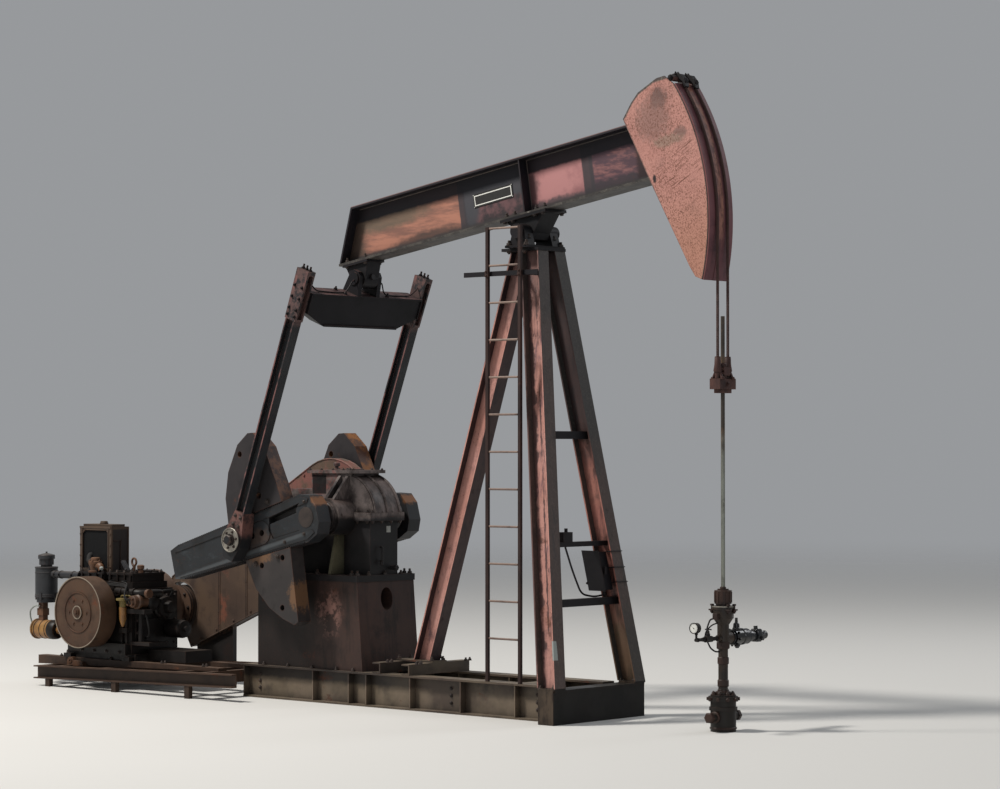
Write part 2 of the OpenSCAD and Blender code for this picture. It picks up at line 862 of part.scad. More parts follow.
module casing_head() {
    color(rust) difference() {
        union() {
            bar_z(front_arm, 0, casing_r, 0, casing_h);
            bar_z(front_arm, 0, casing_r + 10, casing_h - 120, casing_h - 95);
            bar_z(front_arm, 0, casing_r + 16, casing_h - 50, casing_h - 12);
            bar_y(front_arm, 115, 34, -casing_r - 60, -casing_r + 20);
            bar_y(front_arm, 115, 34, casing_r - 20, casing_r + 60);
        }
        bar_z(front_arm, 0, rod_r + 15, -1, casing_h + 1);
    }
}

module pumping_tee() {
    color(dark) difference() {
        union() {
            bar_z(front_arm, 0, tube_r, casing_h, outlet_z - 60);
            bar_z(front_arm, 0, tube_r + 8, outlet_z - 85, outlet_z + 106);
            translate([front_arm, 0, outlet_z + 106])
                cylinder(r1 = tube_r + 10, r2 = 78, h = 47);
            bar_z(front_arm, 0, 78, outlet_z + 153, stuff_z - 27);
            bar_z(front_arm, 0, 86, stuff_z - 27, stuff_z);
            bar_y(front_arm, outlet_z, tube_r + 8, 0, 92);
            bar_y(front_arm, outlet_z, 26, -70, 0);
        }
        bar_z(front_arm, 0, rod_r + 10, casing_h - 1, stuff_z + 1);
    }
}

module stuffing_box() {
    color(dark) difference() {
        union() {
            bar_z(front_arm, 0, 54, stuff_z, stuff_z + 16);
            bar_z(front_arm, 0, 66, stuff_z + 16, stuff_z + stuff_h);
            bar_z(front_arm, 0, 44, stuff_z + stuff_h, stuff_z + stuff_h + 14);
        }
        bar_z(front_arm, 0, rod_r + 0.5, stuff_z - 1, stuff_z + stuff_h + 15);
    }
}

module flow_valve() {
    color(dark) union() {
        bar_y(front_arm, outlet_z, 52, 92, 120);
        bar_y(front_arm, outlet_z, 60, 120, 300);
        bar_y(front_arm, outlet_z, 44, 300, 352);
        bar_y(front_arm, outlet_z, 36, 352, 400);
        bar_y(front_arm, outlet_z, 50, 400, 470);
        bar_y(front_arm, outlet_z, 33, 470, 540);
        bar_z(front_arm, 170, 22, outlet_z, outlet_z + 84);
    }
}

module pressure_gauge() {
    color(grey) union() {
        bar_y(front_arm, outlet_z, 13, -350, -70);
        bar_y(front_arm, outlet_z, 24, -230, -150);
        bar_z(front_arm, -190, 11, outlet_z, outlet_z + 62);
        bar_z(front_arm, -340, 9, outlet_z, outlet_z + 60);
        bar_y(front_arm, outlet_z + 92, 40, -372, -330);
    }
}

// Walking beam

module walking_beam() {
    half = beam_w / 2;
    tail_top = -beam_tail + tail_slant;
    color(pink) on_beam() union() {
        box(-beam_tail, beam_nose, -half, half, beam_drop, beam_drop + beam_flange);
        box(tail_top, beam_nose, -half, half, beam_top - beam_flange, beam_top);
        side_plate([[-beam_tail, beam_drop], [beam_nose, beam_drop], [beam_nose, beam_top],
            [tail_top, beam_top]], -beam_web / 2, beam_web / 2);
        side_plate([[-beam_tail, beam_drop], [-beam_tail + 18, beam_drop], [tail_top + 18, beam_top],
            [tail_top, beam_top]], -half, half);
        box(-stiff_t / 2, stiff_t / 2, -half + 6, half - 6, beam_drop + beam_flange, beam_top - beam_flange);
    }
}

module saddle_shaft() {
    z1 = beam_drop - 25;
    w = saddle_w - 130;
    color(dark) on_beam() union() {
        box(-250, 250, -beam_w / 2 - 25, beam_w / 2 + 25, z1, beam_drop);
        side_plate([[-200, z1], [-70, -20], [-45, -70], [45, -70], [70, -20], [200, z1]], -w, w);
        bar_y(0, 0, saddle_r, -saddle_w - 8, saddle_w + 8);
        for (s = [-1, 1])
            bar_y(0, 0, saddle_r + 10, s * (saddle_w - 6) - 14, s * (saddle_w - 6) + 14);
    }
}

module tail_bearing() {
    w = tail_house_w;
    color(dark) on_beam() difference() {
        union() {
            box(-rear_arm - 150, -rear_arm + 150, -beam_w / 2, beam_w / 2, beam_drop - 20, beam_drop);
            side_plate([[-rear_arm - 132, beam_drop - 20], [-rear_arm - tail_house_r, 0],
                [-rear_arm + tail_house_r, 0], [-rear_arm + 132, beam_drop - 20]], -w, w);
            bar_y(-rear_arm, 0, tail_house_r, -w, w);
            bar_x(0, 0, 24, -rear_arm + tail_house_r - 20, -rear_arm + tail_house_r + 22);
        }
        bar_y(-rear_arm, 0, tail_r + run_gap, -w - 10, w + 10);
    }
}

function head_outline() = concat(arc(face_r - face_t, -face_down, face_up, 24),
    [[face_r - 288, 912], [face_r - 368, 912], [face_r - 569, 843], [face_r - 651, 777], [face_r - 750, 670],
    [face_r - 551, 107], [face_r - 271, -628], [face_r - 229, -712]]);

// side plates with the ropes' anchor bar across their tops
module head_plates() {
    y1 = head_w / 2;
    color(pink) on_beam() union() {
        side_plate(head_outline(), -y1, -y1 + head_t);
        side_plate(head_outline(), y1 - head_t, y1);
        bar_y(face_r - 225, 882, anchor_r, -y1 + 2, y1 - 2);
    }
}

// curved face with its wear strip, and the inner plates that join it to the beam
module head_face() {
    inner = head_w / 2 - head_t;
    strip_r = face_r + strip_h;
    shelf_x = sqrt(pow(face_r - face_t / 2, 2) - pow(beam_top / 2 + 16, 2));
    color(rust) on_beam() union() {
        side_plate(concat(arc(face_r, -face_down, face_up, 30),
            arc(face_r - face_t, face_up, -face_down, 24)), -head_w / 2, head_w / 2);
        side_plate(concat(arc(strip_r, -face_down, face_up, 30), arc(strip_r - 8, face_up, -face_down, 30)),
            -strip_w / 2, strip_w / 2);
        box(beam_nose, beam_nose + 16, -inner, inner, 0, beam_top + 170);
        box(beam_nose + 16, shelf_x, -inner, inner, beam_top / 2, beam_top / 2 + 16);
    }
}

// rope on the head's face, swept in short straight steps
module rope_arc(y) {
    translate([0, y, 0])
        rotate([90, beam_tilt, 0])
            rotate_extrude(angle = face_up + beam_tilt)
                translate([front_arm, 0])
                    circle(r = rope_r);
}

module bridle_wrap() {
    color(dark) on_beam()
        for (s = [-1, 1])
            rope_arc(s * rope_gap / 2);
}

// Pitmans

module equalizer() {
    y1 = pitman_y0 - 8;
    z0 = -eq_drop - eq_h;
    half = eq_w / 2;
    cheek_y = tail_house_w + 8 + cheek_t / 2;
    outline = [[-y1, -eq_drop], [y1, -eq_drop], [y1, z0 + eq_rise], [eq_flat / 2, z0], [-eq_flat / 2, z0],
        [-y1, z0 + eq_rise]];
    color(rust) on_pitman() union() {
        cross_plate(outline, -half + 12, half - 12);
        box(-half, half, -y1, y1, -eq_drop - eq_t, -eq_drop);
        box(-half, half, -eq_flat / 2, eq_flat / 2, z0, z0 + eq_t);
        for (s = [-1, 1]) {
            box(-half, half, s * (y1 + 4) - 4, s * (y1 + 4) + 4, z0 + eq_rise, -eq_drop);
            side_plate([[-95, -eq_drop], [-62, 40], [-32, 72], [32, 72], [62, 40], [95, -eq_drop]],
                s * cheek_y - cheek_t / 2, s * cheek_y + cheek_t / 2);
            bar_y(0, 0, tail_r + 12, s * (cheek_y + cheek_t / 2) - 12, s * (cheek_y + cheek_t / 2) + 12);
        }
        bar_y(0, 0, tail_r, -cheek_y, cheek_y);
    }
}

module pitman_profile() {
    square([pitman_w - 4, 12], center = true);
    for (s = [-1, 1])
        translate([s * (pitman_w - pitman_f) / 2, 0])
            square([pitman_f, pitman_t], center = true);
}

// H-section rod with its upper bracket, which is bolted to the equalizer's end
module pitman(side) {
    y = side * pitman_gap / 2;
    low = -eq_drop - eq_h + 20;
    on_pitman() union() {
        translate([0, y, -pitman_len + wrist_plate])
            linear_extrude(pitman_len - wrist_plate + low)
                pitman_profile();
        difference() {
            side_plate([[-pitman_w / 2 - 12, low], [pitman_w / 2 + 12, low], [pitman_w / 2 + 18, bracket_up],
                [-pitman_w / 2 - 18, bracket_up]], y - pitman_t / 2, y + pitman_t / 2);
            for (s = [-1, 1]) {
                box(s * (pitman_w / 2 - 22) - (s < 0 ? 60 : 0), s * (pitman_w / 2 - 22) + (s > 0 ? 60 : 0),
                    y - 26, y + 26, low + 20, bracket_up - 60);
                bar_x(y, bracket_up - 60, 26, s * (pitman_w / 2 - 22) - (s < 0 ? 60 : 0),
                    s * (pitman_w / 2 - 22) + (s > 0 ? 60 : 0));
            }
        }
    }
}

module pitman_near() {
    color(pink) pitman(-1);
}

module pitman_far() {
    color(pink) pitman(1);
}

// bearing housing at a pitman's lower end, with its cap and nut on the outer face
module wrist_bearing(side) {
    y0 = crank_y1 + wrist_gap;
    y1 = y0 + wrist_t;
    z = -pitman_len;
    half = pitman_w / 2;
    color(dark) on_pitman() mirror([0, side < 0 ? 1 : 0, 0]) union() {
        side_plate([[-62, z - wrist_low], [62, z - wrist_low], [wrist_r, z - 40], [wrist_r, z + 60],
            [half, z + wrist_plate], [-half, z + wrist_plate], [-wrist_r, z + 60], [-wrist_r, z - 40]],
            y0, y1 - 22);
        bar_y(0, z, wrist_r, y1 - 22, y1);
        bar_y(0, z, 52, y1, y1 + 16);
        bar_y(0, z, 34, y1 + 16, y1 + 44);
    }
}

module wrist_bearing_near() {
    wrist_bearing(-1);
}

module wrist_bearing_far() {
    wrist_bearing(1);
}

// Cranks

// half width of a crank at a radius
function edge(r) = crank_w0 - (crank_w0 - crank_w1) * r / crank_len;

// toothed lower edge from the shaft to the tip
function teeth() =
    let (n = floor((crank_len - 160) / tooth_pitch), steps = [0, 0.35, 0.5, 0.85])
    [for (i = [0 : n - 1]) for (k = [0 : 3])
        let (r = 60 + (i + steps[k]) * tooth_pitch)
        [-r, -edge(r) + (k == 1 || k == 2 ? tooth_d : 0)]];

// outline with both toothed edges, with the shaft at the origin and the tip at -X
module crank_outline() {
    low = teeth();
    high = [for (i = [len(low) - 1 : -1 : 0]) [low[i][0], -low[i][1]]];
    polygon(concat([[140, 78], [140, -78], [92, -172], [-30, -edge(30)]], low,
        [[-crank_len, -crank_w1 + 25], [-crank_len, crank_w1 - 25]], high, [[-30, edge(30)], [92, 172]]));
}

// tapered arm with toothed edges, a raised rim, a pocket and three pin holes
module crank() {
    y0 = crank_y0;
    y2 = crank_y1 - crank_step;
    first = pin_radius - 2 * hole_pitch;
    pocket_end = first - pin_boss_r - 14;
    tip = -crank_len + 60;
    difference() {
        union() {
            translate([0, y2, 0])
                rotate([90, 0, 0])
                    linear_extrude(y2 - y0)
                        crank_outline();
            for (s = [-1, 1])
                side_plate([[70, s * 150], [-20, s * (edge(0) - 26)], [tip, s * (edge(-tip) - 26)],
                    [tip, s * (edge(-tip) - 60)], [40, s * 118]], y2 - 1, crank_y1);
            for (i = [0 : 2])
                bar_y(-first - i * hole_pitch, 0, pin_boss_r, y2 - 1, crank_y1);
            box(-pin_radius, -first, y2 - 1, crank_y1, -pin_boss_r, pin_boss_r);
        }
        bar_y(0, 0, shaft_r, y0 - 1, y0 + shaft_seat + 2);
        for (i = [0 : 2])
            bar_y(-first - i * hole_pitch, 0, hole_r, y0 - 1, crank_y1 + 1);
        side_plate([[-shaft_r - 30, 95], [-shaft_r - 30, -90], [-pocket_end, -82], [-pocket_end - 26, 0],
            [-pocket_end, 106], [-40, 138]], y2 - pocket_d, crank_y1 + 1);
    }
}

module crank_near() {
    color(grey) on_crank() mirror([0, 1, 0]) crank();
}

module crank_far() {
    color(grey) on_crank() crank();
}

module crank_shaft() {
    color(dark) bar_y(-shaft_back, shaft_h, shaft_r, -crank_y0 - shaft_seat, crank_y0 + shaft_seat);
}

// outlines in the crank's frame, from the edge that sits on the crank
function upper_outline() = [
    [-250, edge(250)], [-270, 350], [-345, 720], [-450, 872], [-515, 885],
    [-665, 820], [-840, 617], [-932, 403], [-955, edge(955)]];
function lower_outline() = [
    [-250, edge(250)], [-317, 845], [-370, 862], [-500, 775],
    [-633, 650], [-760, 450], [-820, edge(820)]];

// counterweight plate, with side and up as 1 or -1 for its crank and its edge
module weight(side, up) {
    ym = side * (crank_y1 + crank_y0) / 2;
    outline = up > 0 ? upper_outline() : lower_outline();
    holes = up > 0 ? [[-657, 732], [-514, 320]] : [[-633, 274], [-366, 268], [-478, 685]];
    color(rust) on_crank() difference() {
        side_plate([for (p = outline) [p[0], up * p[1]]], ym - weight_t / 2, ym + weight_t / 2);
        for (p = holes)
            bar_y(p[0], up * p[1], lift_r, ym - weight_t, ym + weight_t);
    }
}

module weight_near_upper() {
    weight(-1, 1);
}

module weight_near_lower() {
    weight(-1, -1);
}

module weight_far_upper() {
    weight(1, 1);
}

module weight_far_lower() {
    weight(1, -1);
}

// Polished rod and carrier

module polished_rod() {
    color(dark) bar_z(front_arm, 0, rod_r, rod_low, saddle_h - rod_drop);
}

// bar that hangs from the ropes' sockets, with the rod clamp on it
module carrier_bar() {
    half = carrier_len / 2;
    color(dark) difference() {
        union() {
            box(front_arm - 50, front_arm + 50, -half, half, carrier_z + 30, carrier_top);
            box(front_arm - 38, front_arm + 38, -half + 40, half - 40, carrier_z, carrier_z + 30);
            for (s = [-1, 1])
                bar_z(front_arm, s * rope_gap / 2, socket_r, carrier_top, socket_z);
            bar_z(front_arm, 0, 34, carrier_top, carrier_top + 26);
            box(front_arm - 42, front_arm + 42, -36, 36, carrier_top + 26, carrier_top + clamp_h);
        }
        bar_z(front_arm, 0, rod_r, carrier_z - 1, carrier_top + clamp_h + 1);
    }
}

module bridle_fall() {
    color(dark)
        for (s = [-1, 1])
            bar_z(front_arm, s * rope_gap / 2, rope_r, socket_z, saddle_h);
}

skid_beams();
front_cross_beam();
skid_cross_beams();
rear_leg_channels();
post_leg_near();
post_leg_far();
post_leg_rear();
post_braces();
post_cap();
saddle_bearing();
ladder_stiles();
ladder_rungs();
control_boxes();
gearbox_pedestal();
gearbox_lower();
gearbox_upper();
belt_guard();
engine_rails();
engine_cross_members();
engine_bearers();
engine_block();
cylinder_head();
clutch_housing();
radiator();
air_filter();
oil_filter();
flywheel();
casing_head();
pumping_tee();
stuffing_box();
flow_valve();
pressure_gauge();
walking_beam();
saddle_shaft();
tail_bearing();
head_plates();
head_face();
bridle_wrap();
equalizer();
pitman_near();
pitman_far();
wrist_bearing_near();
wrist_bearing_far();
crank_near();
crank_far();
crank_shaft();
weight_near_upper();
weight_near_lower();
weight_far_upper();
weight_far_lower();
polished_rod();
carrier_bar();
bridle_fall();
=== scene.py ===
import bpy
import bmesh
import math
from mathutils import Matrix, Vector, noise


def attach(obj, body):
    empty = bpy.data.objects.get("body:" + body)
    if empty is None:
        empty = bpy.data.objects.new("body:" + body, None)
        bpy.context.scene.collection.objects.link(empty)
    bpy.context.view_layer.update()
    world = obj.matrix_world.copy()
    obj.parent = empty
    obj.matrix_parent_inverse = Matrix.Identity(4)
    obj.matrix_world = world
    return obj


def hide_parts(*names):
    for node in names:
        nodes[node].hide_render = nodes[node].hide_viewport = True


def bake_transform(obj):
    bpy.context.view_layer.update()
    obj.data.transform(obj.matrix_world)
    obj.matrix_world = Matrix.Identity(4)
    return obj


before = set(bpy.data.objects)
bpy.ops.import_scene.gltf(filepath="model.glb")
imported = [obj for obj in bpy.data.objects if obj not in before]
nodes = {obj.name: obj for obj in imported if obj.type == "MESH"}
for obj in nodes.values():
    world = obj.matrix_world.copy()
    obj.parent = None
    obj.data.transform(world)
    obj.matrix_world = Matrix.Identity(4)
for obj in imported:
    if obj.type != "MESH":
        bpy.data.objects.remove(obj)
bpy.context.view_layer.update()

# Places from part.scad, in metres.
SADDLE = 3.980
ARM = 1.940
REAR = 1.989
TILT = math.radians(8.9)
SHAFT = Vector((-2.05, 0, 1.608))
CRANK = math.radians(15)
TAIL = Vector((-REAR * math.cos(TILT), 0, SADDLE - REAR * math.sin(TILT)))
WRIST = SHAFT + 0.8 * Vector((-math.cos(CRANK), 0, -math.sin(CRANK)))
LEAN = math.atan2(TAIL.x - WRIST.x, TAIL.z - WRIST.z)
PIT = (TAIL - WRIST).length

ON_BEAM = Matrix.Translation((0, 0, SADDLE)) @ Matrix.Rotation(-TILT, 4, "Y")
ON_PITMAN = Matrix.Translation(TAIL) @ Matrix.Rotation(LEAN, 4, "Y")
ON_CRANK = Matrix.Translation(SHAFT) @ Matrix.Rotation(-CRANK, 4, "Y")
HERE = Matrix.Identity(4)

# Directions: -Y is the near side, +X is ahead, towards the well.
UP = (0, 0, 1)
DOWN = (0, 0, -1)
NEAR = (0, -1, 0)
FAR = (0, 1, 0)
AHEAD = (1, 0, 0)
BACK = (-1, 0, 0)


# Materials.
def rgb(text):
    """Linear colour from an sRGB hex word."""
    out = []
    for i in (0, 2, 4):
        c = int(text[i:i + 2], 16) / 255
        out.append(c / 12.92 if c <= 0.04045 else ((c + 0.055) / 1.055) ** 2.4)
    return (*out, 1.0)


class Graph:
    """A material built node by node; positions are the object's own, in metres."""

    def __init__(self, name):
        self.mat = bpy.data.materials.new(name)
        self.mat.use_nodes = True
        self.tree = self.mat.node_tree
        self.tree.nodes.clear()
        out = self.add("ShaderNodeOutputMaterial")
        self.bsdf = self.add("ShaderNodeBsdfPrincipled")
        self.tree.links.new(self.bsdf.outputs[0], out.inputs[0])
        self.co = self.add("ShaderNodeTexCoord").outputs["Object"]
        self.geo = self.add("ShaderNodeNewGeometry")

    def add(self, kind, **props):
        node = self.tree.nodes.new(kind)
        for k, v in props.items():
            setattr(node, k, v)
        return node

    def put(self, socket, value):
        if isinstance(value, bpy.types.NodeSocket):
            self.tree.links.new(value, socket)
        else:
            socket.default_value = value

    def place(self, stretch=(1, 1, 1), shift=(0, 0, 0), turn=(0, 0, 0)):
        m = self.add("ShaderNodeMapping")
        m.inputs["Location"].default_value = shift
        m.inputs["Rotation"].default_value = turn
        m.inputs["Scale"].default_value = stretch
        self.tree.links.new(self.co, m.inputs["Vector"])
        return m.outputs[0]

    def noise(self, scale, detail=6, rough=0.6, at=None, warp=0.0):
        n = self.add("ShaderNodeTexNoise")
        n.inputs["Scale"].default_value = scale
        n.inputs["Detail"].default_value = detail
        n.inputs["Roughness"].default_value = rough
        n.inputs["Distortion"].default_value = warp
        self.tree.links.new(at or self.co, n.inputs["Vector"])
        return n.outputs["Fac"]

    def ramp(self, value, lo, hi, out_lo=0.0, out_hi=1.0):
        n = self.add("ShaderNodeMapRange", interpolation_type="SMOOTHSTEP")
        self.put(n.inputs["Value"], value)
        n.inputs["From Min"].default_value = lo
        n.inputs["From Max"].default_value = hi
        n.inputs["To Min"].default_value = out_lo
        n.inputs["To Max"].default_value = out_hi
        return n.outputs[0]

    def math(self, op, a, b=0.0, c=0.0):
        n = self.add("ShaderNodeMath", operation=op)
        n.use_clamp = True
        self.put(n.inputs[0], a)
        self.put(n.inputs[1], b)
        self.put(n.inputs[2], c)
        return n.outputs[0]

    def mix(self, a, b, fac, blend="MIX"):
        n = self.add("ShaderNodeMix", data_type="RGBA", blend_type=blend)
        self.put(n.inputs[0], fac)
        self.put(n.inputs[6], a)
        self.put(n.inputs[7], b)
        return n.outputs[2]

    def mul(self, a, b):
        return self.math("MULTIPLY", a, b)

    def plus(self, a, b):
        return self.math("ADD", a, b)

    def less(self, a, b):
        return self.math("SUBTRACT", a, b)

    def most(self, a, b):
        return self.math("MAXIMUM", a, b)

    def tint(self, colour, word, fac):
        """The colour turned towards an sRGB hex word."""
        return self.mix(colour, rgb(word), fac)

    def axis(self, socket, which):
        s = self.add("ShaderNodeSeparateXYZ")
        self.tree.links.new(socket, s.inputs[0])
        return s.outputs[which]

    def up(self):
        """How far a face looks up, 0 to 1."""
        return self.math("MAXIMUM", self.axis(self.geo.outputs["Normal"], 2), 0.0)

    def edges(self, radius, lo=0.02, hi=0.25):
        """1 along worn edges."""
        b = self.add("ShaderNodeBevel", samples=4)
        b.inputs["Radius"].default_value = radius
        d = self.add("ShaderNodeVectorMath", operation="DOT_PRODUCT")
        self.tree.links.new(b.outputs[0], d.inputs[0])
        self.tree.links.new(self.geo.outputs["Normal"], d.inputs[1])
        inv = self.math("SUBTRACT", 1.0, d.outputs["Value"])
        return self.ramp(inv, lo, hi)

    def local(self, matrix):
        """X, Y and Z in the frame of a matrix, such as the beam's."""
        inv = matrix.inverted()
        m = self.add("ShaderNodeMapping")
        m.inputs["Location"].default_value = inv.to_translation()
        m.inputs["Rotation"].default_value = inv.to_euler()
        self.tree.links.new(self.co, m.inputs["Vector"])
        s = self.add("ShaderNodeSeparateXYZ")
        self.tree.links.new(m.outputs[0], s.inputs[0])
        return s.outputs[0], s.outputs[1], s.outputs[2]

    def over(self, value, limit, soft=0.01, rag=0.0, scale=14.0):
        """1 where value is above a limit, with a soft and ragged border."""
        if rag:
            n = self.noise(scale, 5, 0.65, self.place(shift=(limit * 7.1, 2.2, 5.5)))
            value = self.add_raw("ADD", value, self.add_raw("MULTIPLY", self.add_raw("SUBTRACT", n, 0.5), rag * 2))
        return self.ramp(value, limit - soft, limit + soft)

    def between(self, value, lo, hi, soft=0.01, rag=0.0, scale=14.0):
        """1 where value lies between two limits."""
        a = self.over(value, lo, soft, rag, scale)
        b = self.over(value, hi, soft, rag, scale)
        return self.math("SUBTRACT", a, b)

    def add_raw(self, op, a, b=0.0):
        """Arithmetic that may leave 0 to 1."""
        n = self.add("ShaderNodeMath", operation=op)
        self.put(n.inputs[0], a)
        self.put(n.inputs[1], b)
        return n.outputs[0]

    def neg(self, value):
        """The value with its sign turned."""
        return self.add_raw("MULTIPLY", value, -1.0)

    def spot(self, x, z, cx, cz, rx, rz, rag=0.5, scale=11.0):
        """1 inside a ragged ellipse in a plane."""
        dx = self.add_raw("DIVIDE", self.add_raw("SUBTRACT", x, cx), rx)
        dz = self.add_raw("DIVIDE", self.add_raw("SUBTRACT", z, cz), rz)
        d = self.add_raw("SQRT",
                         self.add_raw("ADD", self.add_raw("MULTIPLY", dx, dx), self.add_raw("MULTIPLY", dz, dz)))
        n = self.noise(scale, 6, 0.7, self.place(shift=(cx, cz, rx)))
        d = self.add_raw("ADD", d, self.add_raw("MULTIPLY", self.add_raw("SUBTRACT", n, 0.5), rag * 2))
        return self.ramp(d, 1.25, 0.55)

    def toward(self, which, lo=0.35, hi=0.7, sign=1.0):
        """1 on faces that look along an axis."""
        return self.ramp(self.add_raw("MULTIPLY", self.axis(self.geo.outputs["Normal"], which), sign), lo, hi)

    def near(self):
        """1 on faces that look to the near side."""
        return self.toward(1, 0.2, 0.7, -1.0)

    def close(self, distance=0.12):
        """1 in corners and crevices, from ambient occlusion: painted shade that also stands for grime."""
        a = self.add("ShaderNodeAmbientOcclusion", samples=4)
        a.inputs["Distance"].default_value = distance
        return self.ramp(a.outputs["AO"], 0.9, 0.35)

    def finish(self, colour, rough, height=None, strength=0.4, depth=0.002, metal=0.0, spec=0.4):
        self.put(self.bsdf.inputs["Base Color"], colour)
        self.bsdf.inputs["Specular IOR Level"].default_value = spec
        self.put(self.bsdf.inputs["Roughness"], rough)
        self.put(self.bsdf.inputs["Metallic"], metal)
        if height is not None:
            b = self.add("ShaderNodeBump")
            b.inputs["Strength"].default_value = strength
            b.inputs["Distance"].default_value = depth
            self.put(b.inputs["Height"], height)
            self.tree.links.new(b.outputs[0], self.bsdf.inputs["Normal"])
        return self.mat


def rust_colour(g, bright=1.0, offset=0.0):
    """Rust from near-black brown to orange, in spots and clouds."""
    a = g.noise(7.0, 8, 0.7, g.place(shift=(offset, 3.1, 1.7)))
    b = g.noise(42.0, 5, 0.6)
    tone = g.plus(g.mul(a, 0.75), g.mul(b, 0.25))
    dark = g.mix(rgb("2a1b17"), rgb("5a3424"), g.ramp(tone, 0.36, 0.52))
    return g.tint(dark, "a0622f", g.mul(g.ramp(tone, 0.52, 0.68), bright))


def paint(name, base, faded, stain, rust=0.5, rust_bright=0.6, grime_and_shade=0.5, wear=0.6, spots=0.0,
          dust=0.25, dust_colour="8d8074", streak=0.35, rough=(0.45, 0.85), edge=0.006, scale=1.0,
          scratch=0.0, black_up=0.0, black_down=0.0, gloss_oil=0.0, spec=0.4, local=None, last=None):
    """Old paint on steel: faded in clouds, stained, rusted in spots and along its edges, with grime and painted shade
    in its corners.
    """
    g = Graph(name)
    cloud = g.noise(1.6 * scale, 6, 0.6, warp=0.4)
    patch = g.noise(5.5 * scale, 8, 0.65, g.place(shift=(5.2, 1.3, 2.9)))
    colour = g.mix(rgb(base), rgb(faded), g.ramp(cloud, 0.36, 0.64))
    colour = g.mix(colour, rgb(stain), g.mul(g.ramp(patch, 0.5, 0.72), 0.75))
    runs = g.noise(9.0, 5, 0.6, g.place(stretch=(1.6, 1.6, 0.16)))
    colour = g.tint(colour, "1d1718", g.mul(g.ramp(runs, 0.52, 0.8), streak))
    if local:
        colour = local(g, colour)
    # rust in patches
    eat = g.noise(3.4 * scale, 10, 0.72, g.place(shift=(1.1, 7.3, 0.4)))
    worn = g.edges(edge)
    ragged = g.noise(38.0, 4, 0.7)
    worn = g.ramp(g.mul(worn, g.plus(ragged, 0.35)), 0.35, 0.62)
    mask = g.mul(g.ramp(eat, 0.72 - 0.26 * rust, 0.80 - 0.24 * rust), min(1.0, rust * 1.6))
    mask = g.most(mask, g.mul(worn, wear))
    if spots:
        tiny = g.noise(55.0, 6, 0.75, g.place(stretch=(1, 1, 0.8), shift=(4, 4, 4)))
        zone = g.ramp(g.noise(3.0, 4, 0.6, g.place(shift=(9, 2, 6))), 0.3, 0.7, 0.35, 1.0)
        dots = g.mul(g.ramp(tiny, 0.56, 0.64), g.mul(zone, spots))
        mask = g.most(mask, dots)
    if scratch:
        lines = g.noise(16.0, 3, 0.5, g.place(stretch=(0.5, 0.2, 9.0), turn=(0, math.radians(32), 0)))
        area = g.ramp(g.noise(2.3, 3, 0.5, g.place(shift=(3.3, 0, 8.8))), 0.48, 0.62)
        cut = g.mul(g.ramp(lines, 0.64, 0.69), g.mul(area, scratch))
        mask = g.most(mask, cut)
    colour = g.mix(colour, rust_colour(g, rust_bright), mask)
    # dust on what looks up; grime and painted shade in corners, from ambient occlusion
    up = g.up()
    powder = g.mul(g.ramp(up, 0.5, 0.95), g.ramp(g.noise(13.0, 5, 0.6), 0.3, 0.7, 0.3, 1.0))
    colour = g.mix(colour, rgb(dust_colour), g.mul(powder, dust))
    if black_up:
        colour = g.tint(colour, "17151a", g.mul(g.ramp(up, 0.3, 0.9), black_up))
    if black_down:
        down = g.mul(g.axis(g.geo.outputs["Normal"], 2), -1.0)
        colour = g.tint(colour, "17151a", g.mul(g.ramp(down, 0.3, 0.9), black_down))
    # painted shade: corners and crevices darkened by ambient occlusion, along with grime
    corner_shade = g.mul(g.close(), grime_and_shade)
    colour = g.tint(colour, "14110f", corner_shade)
    if last:
        colour = last(g, colour)
    fine = g.noise(160.0, 3, 0.6)
    height = g.plus(g.mul(mask, -0.55), g.mul(fine, g.plus(g.mul(mask, 0.9), 0.12)))
    height = g.plus(height, 0.6)
    r = g.plus(rough[0], g.mul(g.plus(mask, g.mul(patch, 0.4)), rough[1] - rough[0]))
    if gloss_oil:
        wet = g.mul(g.ramp(g.noise(4.0, 5, 0.6, g.place(shift=(2, 9, 5))), 0.45, 0.6), gloss_oil)
        colour = g.tint(colour, "0d0b0a", wet)
        r = g.less(r, g.mul(wet, 0.35))
    return g.finish(colour, r, height, 0.5, 0.0018, spec=spec)


# Materials by short name.
M = {}


